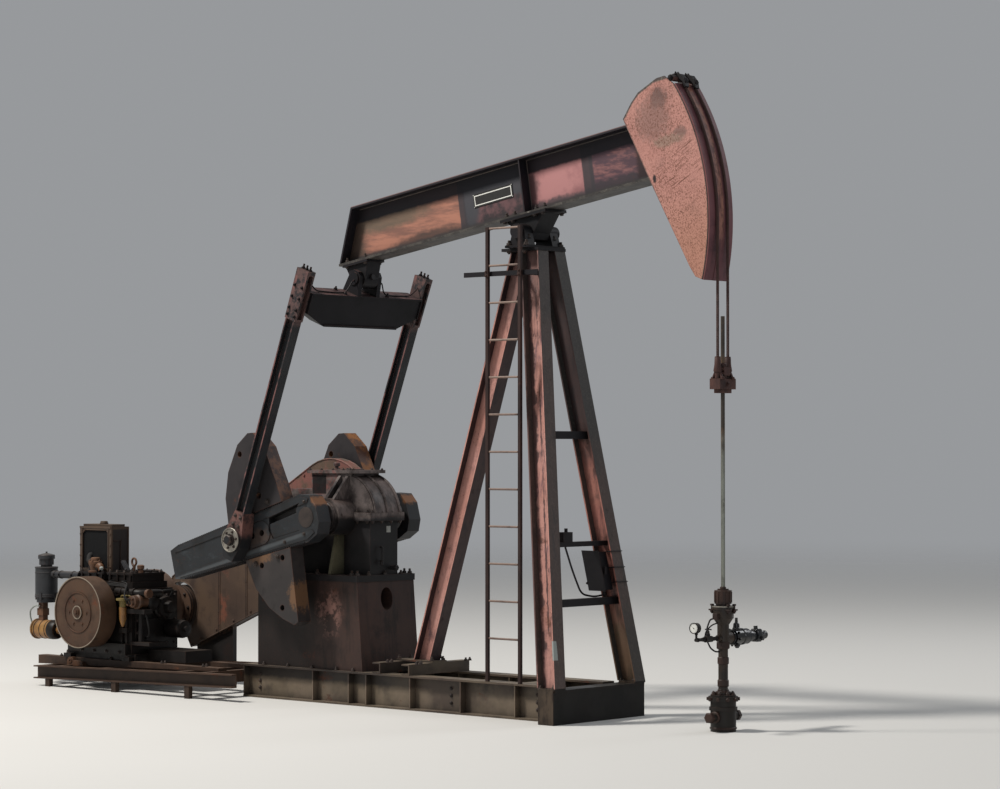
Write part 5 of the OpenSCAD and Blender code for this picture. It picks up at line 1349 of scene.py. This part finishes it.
def valve_fittings(bm):
    """Bonnet, plug, stem, bolts and union nut of the flow line's plug valve."""
    x, z = ARM, 0.725
    add_lathe(bm, (x, 0.112, z), FAR, [(0, 0.062), (0.014, 0.062), (0.018, 0.058)], 32)
    bolt_row(bm, ring_of((x, 0.130, z), FAR, 0.0655, 8, 0.2), FAR, 0.009, 0.008, 0.008)
    add_lathe(bm, (x, 0.210, z), FAR, [(0, 0.060), (0.006, 0.066), (0.030, 0.066), (0.036, 0.060)], 32)
    add_lathe(bm, (x, 0.283, z), FAR, [(0, 0.058), (0.010, 0.062), (0.020, 0.058)], 32)
    add_lathe(bm, (x, 0.170, z + 0.052), UP,
              [(0, 0.032), (0.016, 0.032), (0.022, 0.026), (0.050, 0.024), (0.056, 0.018), (0.062, 0.012),
               (0.082, 0.012)], 24)
    add_box(bm, x - 0.008, x + 0.008, 0.162, 0.178, z + 0.130, z + 0.150)
    add_lathe(bm, (x, 0.180, z - 0.054), DOWN, [(0, 0.024), (0.020, 0.024), (0.024, 0.018), (0.034, 0.014)], 20)
    add_hex(bm, (x, 0.398, z), FAR, [(0, 0.052), (0.008, 0.058), (0.058, 0.058), (0.066, 0.050)])
    for k in range(3):
        a = 2 * math.pi * k / 3 + 0.4
        m = Matrix.Translation((x, 0.432, z)) @ Matrix.Rotation(a, 4, "Y")
        add_box(bm, 0.050, 0.074, -0.014, 0.014, -0.010, 0.010, m)
    add_hex(bm, (x, 0.478, z), FAR, [(0, 0.040), (0.030, 0.040), (0.034, 0.034)])


piece("valve_fittings", "base", "valve", valve_fittings, 0.0015)


def gauge_case(bm):
    """The gauge's bezel, the needle valve's handles, nuts and bent capillary pipes."""
    x, z = ARM, 0.817
    add_lathe(bm, (x, -0.366, z), NEAR,
              [(0, 0.0425), (0.009, 0.0425), (0.0115, 0.0395), (0.0085, 0.0365), (0.0068, 0.0362)], 40)
    add_hex(bm, (x, -0.340, 0.765), UP, [(0, 0.014), (0.014, 0.014)])
    add_hex(bm, (x, -0.190, 0.748), UP, [(0, 0.017), (0.018, 0.017), (0.022, 0.012)])
    add_rod(bm, (x, -0.190, 0.786), (x, -0.190, 0.800), 0.005, sides=10)
    add_rod(bm, (x - 0.030, -0.190, 0.800), (x + 0.030, -0.190, 0.800), 0.005, sides=10)
    for y in (-0.330, -0.262, -0.236, -0.134, -0.095):
        add_hex(bm, (x, y, 0.725), FAR, [(0, 0.018), (0.014, 0.018)])
    add_tube(bm,
             [(x - 0.02, -0.082, 0.880), (x - 0.03, -0.128, 0.872), (x - 0.035, -0.165, 0.800),
              (x - 0.03, -0.170, 0.715),
                  (x - 0.02, -0.135, 0.650), (x - 0.01, -0.088, 0.622), (x, -0.046, 0.620)], 0.0065, 10)
    add_tube(bm,
             [(x + 0.01, -0.250, 0.730), (x + 0.02, -0.245, 0.790), (x + 0.02, -0.170, 0.835),
              (x + 0.01, -0.082, 0.845)], 0.0055, 10)


piece("gauge_fittings", "base", "black", gauge_case)


def gauge_face(bm):
    """The gauge's blank dial."""
    add_lathe(bm, (ARM, -0.3715, 0.817), NEAR, [(0, 0.0362), (0.0012, 0.0362), (0.0018, 0.034)], 40)


piece("gauge_dial", "base", "glass", gauge_face)


def gauge_marks(bm):
    """Scale strokes and the hand; the dial bears no words."""
    for i in range(13):
        a = math.radians(-135 + i * 22.5)
        r0, r1 = (0.024, 0.031) if i % 3 == 0 else (0.027, 0.031)
        c, s = math.sin(a), math.cos(a)
        add_rod(bm, (ARM + r0 * c, -0.3735, 0.817 + r0 * s), (ARM + r1 * c, -0.3735, 0.817 + r1 * s), 0.0008, sides=6)
    add_rod(bm, (ARM + 0.006, -0.3742, 0.812), (ARM - 0.020, -0.3742, 0.834), 0.0012, 0.0005, sides=6)
    add_lathe(bm, (ARM, -0.3730, 0.817), NEAR, [(0, 0.004), (0.003, 0.004), (0.004, 0.002)], 12)


piece("gauge_marks", "base", "ink", gauge_marks)


def carrier_fittings(bm):
    """Rope sockets with their bails and nuts, and the polished rod clamp's bolts."""
    for s in (-1, 1):
        y = s * 0.065
        add_lathe(bm, (ARM, y, 2.915), DOWN,
                  [(0, 0.017), (0.010, 0.0245), (0.060, 0.026), (0.110, 0.034), (0.122, 0.030)], 24)
        for k in (-1, 1):
            add_rod(bm, (ARM + k * 0.012, y, 2.815), (ARM + k * 0.046, y, 2.742), 0.011, sides=12)
            add_hex(bm, (ARM + k * 0.046, y, 2.740), UP, [(0, 0.018), (0.014, 0.018), (0.017, 0.014)])
        add_box(bm, ARM - 0.060, ARM + 0.060, y - 0.020, y + 0.020, 2.736, 2.744)
    for z in (2.782, 2.818):
        for x in (-0.028, 0.028):
            add_bolt(bm, (ARM + x, -0.036, z), NEAR, 0.012, 0.010, 0.010)
            add_bolt(bm, (ARM + x, 0.036, z), FAR, 0.012, 0.010, 0.022)
    add_lathe(bm, (ARM, 0, 2.835), UP, [(0, 0.030), (0.022, 0.030), (0.030, 0.024)], 24)
    add_bolt(bm, (ARM + 0.050, 0.0, 2.70), AHEAD, 0.016, 0.010, 0.006)


piece("carrier_fittings", "rod", "socket", carrier_fittings, 0.001)


# Engine.
BLOCK_END, BLOCK_NEAR = -4.300, -0.640


def engine_castings(bm):
    """Covers, manifold, magneto, starter and brackets that crowd the engine's near side and right end."""
    e = BLOCK_END
    add_box(bm, e, e + 0.020, -0.605, -0.125, 0.400, 0.865)
    add_box(bm, e + 0.018, e + 0.060, -0.560, -0.400, 0.430, 0.640)
    add_lathe(bm, (e + 0.018, -0.300, 0.745), AHEAD,
              [(0, 0.115), (0.035, 0.115), (0.050, 0.100), (0.085, 0.095), (0.095, 0.060), (0.150, 0.055),
               (0.156, 0.045)], 32)
    add_lathe(bm, (e + 0.018, -0.215, 0.545), AHEAD,
              [(0, 0.060), (0.030, 0.060), (0.034, 0.084), (0.200, 0.084), (0.208, 0.078), (0.232, 0.076),
               (0.240, 0.030), (0.262, 0.028)], 32)
    add_lathe(bm, (e + 0.018, -0.470, 0.790), AHEAD,
              [(0, 0.062), (0.060, 0.062), (0.066, 0.070), (0.095, 0.070), (0.104, 0.060), (0.118, 0.028)], 28)
    add_tube(bm,
             [(-4.450, -0.630, 0.902), (-4.450, -0.690, 0.900), (-4.120, -0.690, 0.885), (-4.100, -0.440, 0.885),
              (-4.290, -0.420, 0.830)], 0.033, 16)
    add_box(bm, -4.720, -4.400, -0.668, BLOCK_NEAR + 0.01, 0.850, 0.884)
    for x in (-4.37, -4.20):
        add_lathe(bm, (x, -0.690, 0.890), AHEAD, [(-0.010, 0.042), (0.010, 0.042)], 20)
    for x in (-4.415, -4.355):
        add_box(bm, x - 0.012, x + 0.012, -0.662, BLOCK_NEAR + 0.002, 0.340, 0.840)
    add_box(bm, -4.420, -4.310, -0.690, BLOCK_NEAR, 0.520, 0.560)
    add_box(bm, -4.345, -4.060, -0.700, -0.600, 0.700, 0.742)
    add_box(bm, -4.300, -4.060, -0.640, -0.420, 0.410, 0.440)
    add_rod(bm, (-4.230, -0.590, 0.440), (-4.230, -0.590, 0.700), 0.024)
    add_box(bm, -4.960, -4.320, -0.700, -0.640, 0.322, 0.420)
    # vertical studs and ribs on the near side of the cylinder heads
    for x in (-5.08, -4.98, -4.88, -4.80, -4.68, -4.58, -4.48, -4.40):
        add_box(bm, x - 0.007, x + 0.007, -0.576, -0.558, 0.950, 1.046)
    for x0, x1 in ((-5.128, -4.772), (-4.728, -4.372)):
        add_box(bm, x0, x1, -0.572, -0.178, 1.036, 1.056)
        for k in range(4):
            add_box(bm, x0 + 0.03, x1 - 0.03, -0.500 + k * 0.085, -0.480 + k * 0.085, 1.054, 1.072)
    # foot pads at the block's corners
    for x in (-5.16, -4.34):
        add_box(bm, x - 0.05, x + 0.05, -0.680, -0.560, 0.262, 0.300)


piece("engine_castings", "base", "engine", engine_castings, 0.003)


def engine_bolts(bm):
    """Bolts of the covers, heads, feet, flywheel hub and bearers."""
    e = BLOCK_END + 0.020
    rim = [(e, y, z) for y in (-0.590, -0.490, -0.365, -0.240, -0.140) for z in (0.415, 0.850)]
    rim += [(e, y, z) for y in (-0.590, -0.140) for z in (0.52, 0.63, 0.74)]
    bolt_row(bm, rim, AHEAD, 0.012, 0.010, 0.004)
    bolt_row(bm, ring_of((BLOCK_END + 0.068, -0.300, 0.745), AHEAD, 0.096, 8), AHEAD, 0.010, 0.008, 0.0)
    for x0 in (-5.128, -4.728):
        bolt_row(bm, [(x0 + 0.03 + 0.098 * i, y, 1.056) for i in range(4) for y in (-0.555, -0.195)], UP, 0.014, 0.012,
                 0.012)
    for x in (-5.16, -4.34):
        bolt_row(bm, [(x, -0.665, 0.300)], UP, 0.018, 0.014, 0.018)
    bolt_row(bm, [(x, -0.668, 0.867) for x in (-4.70, -4.62, -4.54, -4.46)], NEAR, 0.011, 0.009, 0.006)
    bolt_row(bm, [(x, -0.700, 0.345) for x in (-4.92, -4.75, -4.58, -4.40)], NEAR, 0.014, 0.012, 0.006)
    for x in (-5.30, -4.60, -3.90, -3.35):
        bolt_row(bm, [(x, y, 0.262) for y in (-0.63, -0.59)], UP, 0.014, 0.012, 0.012)


piece("engine_bolts", "base", "bolt", engine_bolts)


def engine_rusty(bm):
    """Thermostat housing, lifting eye, magneto, priming cup, bracket and small castings in orange rust."""
    add_lathe(bm, (-4.920, -0.544, 1.050), UP,
              [(0, 0.066), (0.016, 0.066), (0.020, 0.048), (0.050, 0.052), (0.074, 0.064),
              (0.098, 0.064), (0.104, 0.046), (0.130, 0.044), (0.138, 0.030)], 28)
    add_tube(bm, [(-4.915, -0.550, 1.110), (-4.835, -0.555, 1.110), (-4.820, -0.555, 1.070)], 0.032, 14)
    for k in range(5):
        a = 2 * math.pi * k / 5
        add_bolt(bm, (-4.920 + 0.055 * math.cos(a), -0.544 + 0.055 * math.sin(a), 1.148), UP, 0.010, 0.010, 0.006)
    eye = [(-4.545 + 0.030 * math.cos(math.radians(t)), -0.400,
            1.150 + 0.034 * math.sin(math.radians(t))) for t in range(-70, 251, 20)]
    add_tube(bm,
             [(-4.540, -0.400, 1.060), (-4.538, -0.400, 1.100)] + eye + [(-4.552, -0.400, 1.100),
                     (-4.550, -0.400, 1.060)], 0.010, 10, smooth=0)
    add_lathe(bm, (-4.396, -0.450, 1.056), UP,
              [(0, 0.024), (0.030, 0.022), (0.036, 0.032), (0.066, 0.034), (0.074, 0.020)], 20)
    add_lathe(bm, (-4.170, -0.600, 0.812), NEAR,
              [(0, 0.062), (0.070, 0.062), (0.076, 0.070), (0.100, 0.070), (0.112, 0.058), (0.150, 0.054),
               (0.160, 0.038)], 28)
    for k in range(4):
        a = math.pi / 4 + math.pi / 2 * k
        add_rod(bm, (-4.170 + 0.034 * math.cos(a), -0.755, 0.812 + 0.034 * math.sin(a)),
                (-4.170 + 0.034 * math.cos(a), -0.785, 0.812 + 0.034 * math.sin(a)), 0.012, sides=12)
    add_rod(bm, (-4.030, -0.690, 0.886), (-3.996, -0.690, 0.888), 0.040)
    # casting with a hole on the near rail, and the block between the two filters
    add_plate(bm,
              [(-5.138, 0.180), (-5.138, 0.240), (-5.112, 0.267), (-5.064, 0.267), (-5.046, 0.238), (-4.925, 0.226),
               (-4.909, 0.196)], -0.700, -0.655)
    add_lathe(bm, (-5.088, -0.698, 0.234), NEAR, [(0, 0.022), (0.008, 0.022), (0.009, 0.012), (0.001, 0.010)], 18)
    add_box(bm, -5.684, -5.616, -0.594, -0.536, 0.570, 0.750)
    add_box(bm, -5.692, -5.608, -0.604, -0.528, 0.625, 0.690)


piece("engine_rusty_parts", "base", "rusty", engine_rusty, 0.0015)


def sediment_bowl(bm):
    """The fuel bowl below the carburettor: a neck and a tapered bottle."""
    p = (-4.330, -0.720, 0.840)
    add_lathe(bm, p, DOWN, [(0.080, 0.022), (0.086, 0.034), (0.190, 0.032), (0.240, 0.018), (0.262, 0.010)], 24)


piece("sediment_bowl", "base", "orange", sediment_bowl)


def bowl_cap(bm):
    """The fuel bowl's cap, bracket and pipe."""
    p = (-4.330, -0.720, 0.840)
    add_lathe(bm, p, DOWN, [(0, 0.030), (0.004, 0.062), (0.022, 0.062), (0.026, 0.034), (0.080, 0.030), (0.084, 0.026)],
              28)
    add_box(bm, -4.350, -4.310, -0.710, BLOCK_NEAR, 0.815, 0.835)
    add_tube(bm, [(-4.330, -0.740, 0.840), (-4.320, -0.745, 0.862), (-4.220, -0.750, 0.868), (-4.180, -0.735, 0.850)],
             0.006, 8)


piece("bowl_cap", "base", "brass", bowl_cap)


def engine_wires(bm):
    """Ignition leads from the magneto to the plugs, and fuel and oil pipes."""
    plugs = (-5.03, -4.86, -4.63, -4.45)
    for k, x in enumerate(plugs):
        a = math.pi / 4 + math.pi / 2 * k
        add_tube(bm,
                 [(-4.170 + 0.034 * math.cos(a), -0.780, 0.812 + 0.034 * math.sin(a)),
                  (-4.190, -0.830, 0.840 + 0.012 * k),
                      (-4.300, -0.690, 0.942 + 0.010 * k), (x + 0.03, -0.660, 0.960 + 0.008 * k), (x, -0.600, 0.985),
                      (x, -0.574, 0.985)], 0.0055, 8)
    add_tube(bm, [(-4.10, -0.66, 0.74), (-4.05, -0.66, 0.62), (-4.10, -0.60, 0.50), (-4.24, -0.52, 0.47)], 0.008, 8)
    add_tube(bm, [(-4.27, -0.20, 0.84), (-4.20, -0.22, 0.90), (-4.18, -0.36, 0.90), (-4.27, -0.44, 0.86)], 0.010, 8)


piece("engine_wires", "base", "rubber", engine_wires)


def engine_pale(bm):
    """The drain knob and the breather pipe by the filters."""
    add_lathe(bm, (-4.780, -0.585, 1.072), (0, -0.4, 1),
              [(0, 0.008), (0.010, 0.010), (0.012, 0.018), (0.028, 0.019), (0.036, 0.010)], 16)
    add_tube(bm,
             [(-5.640, -0.612, 0.715), (-5.700, -0.625, 0.716), (-5.770, -0.625, 0.670), (-5.796, -0.600, 0.600),
              (-5.790, -0.580, 0.540), (-5.745, -0.565, 0.520)], 0.0075, 10)


piece("engine_pale_parts", "base", "patch", engine_pale)


def lever(bm):
    """The engine's lever and its bolt."""
    add_plate(bm,
              [(-4.652, 1.150), (-4.636, 1.166), (-4.622, 1.166), (-4.548, 1.078), (-4.548, 1.056), (-4.580, 1.056)],
              -0.470, -0.440)
    bolt_row(bm, [(-4.575, -0.470, 1.080)], NEAR, 0.012, 0.010, 0.004)


piece("engine_lever", "base", "filter", lever, 0.002)


# Radiator, filters, flywheel and guard.
RX0, RX1, RY, RZ0, RZ1 = -5.190, -4.750, -0.505, 1.050, 1.470


def radiator_core(bm):
    """Upright fins and the dark sheet behind them."""
    add_box(bm, RX0 + 0.036, RX1 - 0.036, RY + 0.027, RY + 0.035, RZ0 + 0.036, RZ1 - 0.036)
    fins = 46
    for i in range(fins):
        x = RX0 + 0.040 + (RX1 - RX0 - 0.080) * i / (fins - 1)
        add_box(bm, x - 0.0016, x + 0.0016, RY + 0.014, RY + 0.028, RZ0 + 0.036, RZ1 - 0.036)
    for i in range(9):
        z = RZ0 + 0.060 + 0.037 * i
        add_box(bm, RX0 + 0.036, RX1 - 0.036, RY + 0.018, RY + 0.026, z, z + 0.003)


piece("radiator_core", "base", "core", radiator_core)


def radiator_frame(bm):
    """Rounded gussets in the frame's upper corners, edge strips, the side trim, the cap and the frame's bolts."""
    r = 0.070
    for x, s in ((RX0 + 0.030, 1), (RX1 - 0.030, -1)):
        z = RZ1 - 0.030
        arc = [(x + s * (r - r * math.sin(t)),
                z - r + r * math.cos(t)) for t in [math.radians(a) for a in range(0, 91, 15)]]
        add_plate(bm, [(x, z)] + arc, RY, RY + 0.012)
    for x in (RX0 + 0.034, RX1 - 0.034):
        add_box(bm, x - 0.006, x + 0.006, RY - 0.006, RY + 0.004, RZ0, RZ1 - 0.02)
    add_box(bm, RX0, RX1, RY - 0.006, RY + 0.002, RZ1 - 0.016, RZ1 + 0.002)
    add_box(bm, RX1, RX1 + 0.008, -0.392, -0.380, 1.058, 1.350)
    add_box(bm, RX1, RX1 + 0.008, -0.471, -0.380, 1.338, 1.350)
    add_box(bm, RX1 - 0.002, RX1 + 0.006, -0.505, -0.493, RZ0, RZ1)
    add_box(bm, RX1 - 0.002, RX1 + 0.006, -0.302, -0.290, RZ0, RZ1)
    add_lathe(bm, (-4.970, -0.400, 1.492), UP,
              [(0, 0.040), (0.012, 0.040), (0.014, 0.034), (0.024, 0.034), (0.028, 0.028)], 24)
    add_box(bm, -5.012, -4.928, -0.406, -0.394, 1.508, 1.518)
    for x in (RX0 + 0.010, RX1 - 0.010):
        bolt_row(bm, [(x, RY - 0.001, z) for z in (1.10, 1.20, 1.30, 1.40)], NEAR, 0.008, 0.006, 0.0)


piece("radiator_frame", "base", "radiator", radiator_frame, 0.0015)


def radiator_hose(bm):
    """The lower hose of the radiator."""
    add_tube(bm, [(-4.975, -0.530, 1.135), (-5.040, -0.520, 1.150), (-5.050, -0.500, 1.200), (-5.050, -0.475, 1.205)],
             0.028, 14)


piece("radiator_hose", "base", "rubber", radiator_hose)


def filter_bands(bm):
    """Bands, clips and wing nut of the air cleaner, and the hose clamps."""
    x, y = -5.610, -0.560
    for z, r in ((0.812, 0.1075), (1.020, 0.1075), (1.066, 0.109), (0.796, 0.109)):
        add_lathe(bm, (x, y, z), UP, [(0, r - 0.004), (0.003, r), (0.013, r), (0.016, r - 0.004)], 40)
    for a in (200, 290, 20):
        m = Matrix.Translation((x, y, 0)) @ Matrix.Rotation(math.radians(a), 4, "Z")
        add_box(bm, 0.102, 0.114, -0.012, 0.012, 0.770, 0.840, m)
    add_lathe(bm, (x, y, 1.188), UP, [(0, 0.078), (0.006, 0.074), (0.016, 0.040), (0.022, 0.010), (0.036, 0.008)], 32)
    for k in range(10):
        a = 2 * math.pi * k / 10
        add_box(bm, -0.003, 0.003, 0.058, 0.0685, 1.104, 1.152,
                Matrix.Translation((x, y, 0)) @ Matrix.Rotation(a, 4, "Z"))
    for px in (-5.470, -5.395, -5.215):
        add_lathe(bm, (px, y, 1.014), AHEAD, [(0, 0.035), (0.002, 0.0385), (0.014, 0.0385), (0.016, 0.035)], 24)
        add_box(bm, px + 0.002, px + 0.014, y - 0.052, y - 0.036, 1.004, 1.024)


piece("filter_bands", "base", "filter", filter_bands)


def oil_filter_parts(bm):
    """The oil filter's black mount, its end nut and the pipe that feeds it."""
    y, z = -0.560, 0.495
    add_lathe(bm, (-5.512, y, z), AHEAD, [(0, 0.090), (0.010, 0.092), (0.060, 0.088), (0.080, 0.078), (0.086, 0.060)],
              32)
    add_lathe(bm, (-5.738, y, z), BACK,
              [(0, 0.050), (0.006, 0.048), (0.010, 0.024), (0.026, 0.022), (0.034, 0.010), (0.052, 0.009)], 24)
    for x in (-5.70, -5.62, -5.545):
        add_lathe(bm, (x, y, z), AHEAD, [(0, 0.0885), (0.002, 0.0905), (0.008, 0.0905), (0.010, 0.0885)], 40)


piece("oil_filter_parts", "base", "engine", oil_filter_parts)


def flywheel_trim(bm):
    """Hub bolts, the starting dog and a thin raised ring."""
    y = -0.894
    bolt_row(bm, ring_of((-4.750, y, 0.700), NEAR, 0.120, 6), NEAR, 0.011, 0.008, 0.0)
    add_hex(bm, (-4.750, -0.916, 0.700), NEAR, [(0, 0.020), (0.014, 0.020), (0.017, 0.014)])
    add_ring(bm, (-4.750, -0.899, 0.700), NEAR, [(0, 0.186), (0.003, 0.186), (0.003, 0.178), (0, 0.176)], 64)


piece("flywheel_trim", "flywheel", "wheel", flywheel_trim)


def flywheel_ring(bm):
    """Worn rims of the flywheel's hub and edge."""
    add_ring(bm, (-4.750, -0.905, 0.700), NEAR,
             [(0, 0.0625), (0.003, 0.0625), (0.004, 0.060), (0.003, 0.053), (0, 0.052)], 48)
    add_ring(bm, (-4.750, -0.899, 0.700), NEAR,
             [(0, 0.3255), (0.003, 0.3255), (0.004, 0.323), (0.003, 0.3165), (0, 0.316)], 96)


piece("flywheel_rims", "flywheel", "rim", flywheel_ring)


GUARD = [(-2.982, 2.045), (-4.870, 0.980), (-4.870, 0.780), (-4.600, 0.330), (-2.518, 1.171)]


def guard_trim(bm):
    """Rolled edges, seams, rivets and bolts of the belt guard's two sides."""
    for y in (0.358, 0.454):
        s = -1 if y < 0.4 else 1
        for a, b in zip(GUARD, GUARD[1:]):
            add_rod(bm, (a[0], y, a[1]), (b[0], y, b[1]), 0.007, sides=8)
        pts = [(0.495 * math.cos(math.radians(a)) - 2.75, 0.495 * math.sin(math.radians(a)) + 1.608)
               for a in range(-62, 119, 9)]
        for a, b in zip(pts, pts[1:]):
            add_rod(bm, (a[0], y, a[1]), (b[0], y, b[1]), 0.007, sides=8)
        for x, lo, hi in ((-3.850, 0.640, 1.550), (-4.219, 0.490, 1.340)):
            add_box(bm, x - 0.016, x + 0.016, y - 0.004, y + 0.004, lo, hi)
            for k in range(7):
                z = lo + 0.06 + (hi - lo - 0.12) * k / 6
                add_lathe(bm, (x, y + 0.004 * s, z), (0, s, 0), [(0, 0.008), (0.003, 0.007), (0.005, 0.003)], 8)
        for a, b in ((GUARD[0], GUARD[1]), (GUARD[3], GUARD[4])):
            n = 9
            down = -1 if a is GUARD[0] else 1
            for k in range(n):
                t = (k + 0.5) / n
                add_bolt(bm, (a[0] + (b[0] - a[0]) * t, y + 0.001 * s, a[1] + (b[1] - a[1]) * t + 0.035 * down),
                         (0, s, 0), 0.010, 0.007, 0.0, turn=k)
        ring = ring_of((-4.750, y, 0.700), (0, s, 0), 0.238, 36)
        for a, b in zip(ring, ring[1:] + ring[:1]):
            add_rod(bm, a, b, 0.006, sides=8)


piece("guard_trim", "base", "guard", guard_trim)


def clutch_parts(bm):
    """Bolts, grooves and fins of the clutch and pulley in the guard's mouth."""
    for y, r in ((0.300, 0.2055), (0.330, 0.2055), (0.200, 0.1215), (0.240, 0.1215)):
        add_lathe(bm, (-4.750, y, 0.700), FAR,
                  [(0, r - 0.004), (0.004, r + 0.004), (0.012, r + 0.004), (0.016, r - 0.004)], 48)
    bolt_row(bm, ring_of((-4.750, 0.040, 0.700), FAR, 0.335, 12), FAR, 0.014, 0.010, 0.006)
    bolt_row(bm, ring_of((-4.750, 0.298, 0.700), NEAR, 0.170, 8), NEAR, 0.014, 0.010, 0.006)


piece("clutch_parts", "base", "engine", clutch_parts)


def skid_fittings(bm):
    """Bolts along the skid's flanges and the rails' ends."""
    for s in (-1, 1):
        for x in (-2.85, -2.55, -2.25, -1.95, -1.75):
            add_bolt(bm, (x, s * 0.365, 0.290), UP, 0.015, 0.012, 0.014)
        for x in (-2.95, -0.65, 0.30):
            for z in (0.085, 0.145, 0.205):
                add_bolt(bm, (x, s * 0.311, z), (0, s, 0), 0.014, 0.010, 0.006)


piece("skid_fittings", "base", "bolt", skid_fittings)


# Stage, camera, lights.
def stage():
    """Floor, backdrop, lights and camera."""
    bm = bmesh.new()
    bmesh.ops.create_grid(bm, x_segments=1, y_segments=1, size=60)
    me = bpy.data.meshes.new("floor")
    bm.to_mesh(me)
    bm.free()
    floor = bpy.data.objects.new("floor", me)
    bpy.context.scene.collection.objects.link(floor)
    g = Graph("pale_floor")
    c = g.mix(rgb("cccbc8"), rgb("cfcecb"), g.noise(60.0, 3, 0.5))
    mat = g.finish(c, 0.85)
    # the floor thins out with distance, so no edge shows against the backdrop from any side
    x, y, _ = g.local(HERE)
    reach = g.add_raw("SQRT", g.add_raw("ADD", g.add_raw("MULTIPLY", x, x), g.add_raw("MULTIPLY", y, y)))
    fade = g.ramp(reach, 9.0, 46.0)
    out = next(n for n in g.tree.nodes if n.type == "OUTPUT_MATERIAL")
    both = g.add("ShaderNodeMixShader")
    for socket, source in ((0, fade), (1, g.bsdf.outputs[0]), (2, g.add("ShaderNodeBsdfTransparent").outputs[0])):
        g.put(both.inputs[socket], source)
    g.put(out.inputs["Surface"], both.outputs[0])
    me.materials.append(mat)

    scene = bpy.context.scene
    world = bpy.data.worlds.new("studio")
    world.use_nodes = True
    world.node_tree.nodes["Background"].inputs[0].default_value = rgb("dfe2e6")
    world.node_tree.nodes["Background"].inputs[1].default_value = 0.42
    scene.world = world

    def light(name, where, at, size, power, colour=(1, 1, 1)):
        data = bpy.data.lights.new(name, "AREA")
        data.shape = "DISK"
        data.size = size
        data.energy = power
        data.color = colour
        o = bpy.data.objects.new(name, data)
        o.location = where
        o.rotation_euler = (Vector(at) - Vector(where)).to_track_quat("-Z", "Y").to_euler()
        scene.collection.objects.link(o)

    light("key", (-8.5, -9.5, 17.0), (-1.0, 0, 1.8), 3.0, 4500, (1.0, 0.96, 0.90))
    light("fill", (13.0, -10.0, 5.0), (-1.0, 0, 1.8), 7.0, 200, (0.92, 0.96, 1.0))
    light("rim", (4.0, 13.0, 10.0), (-1.0, 0, 2.0), 6.0, 330, (0.95, 0.97, 1.0))

    cam = bpy.data.cameras.new("camera")
    cam.sensor_width = 36
    cam.lens = 2825.5 / 1000 * 36
    cam.clip_end = 200
    o = bpy.data.objects.new("camera", cam)
    yaw = math.radians(41.75)
    pitch = math.atan(51 / 2825.5)
    o.location = (15.305, -17.582, 2.222)
    look = Vector((-math.sin(yaw) * math.cos(pitch), math.cos(yaw) * math.cos(pitch), math.sin(pitch)))
    o.rotation_euler = look.to_track_quat("-Z", "Y").to_euler()
    scene.collection.objects.link(o)
    scene.camera = o
    scene.view_settings.view_transform = "Standard"


stage()
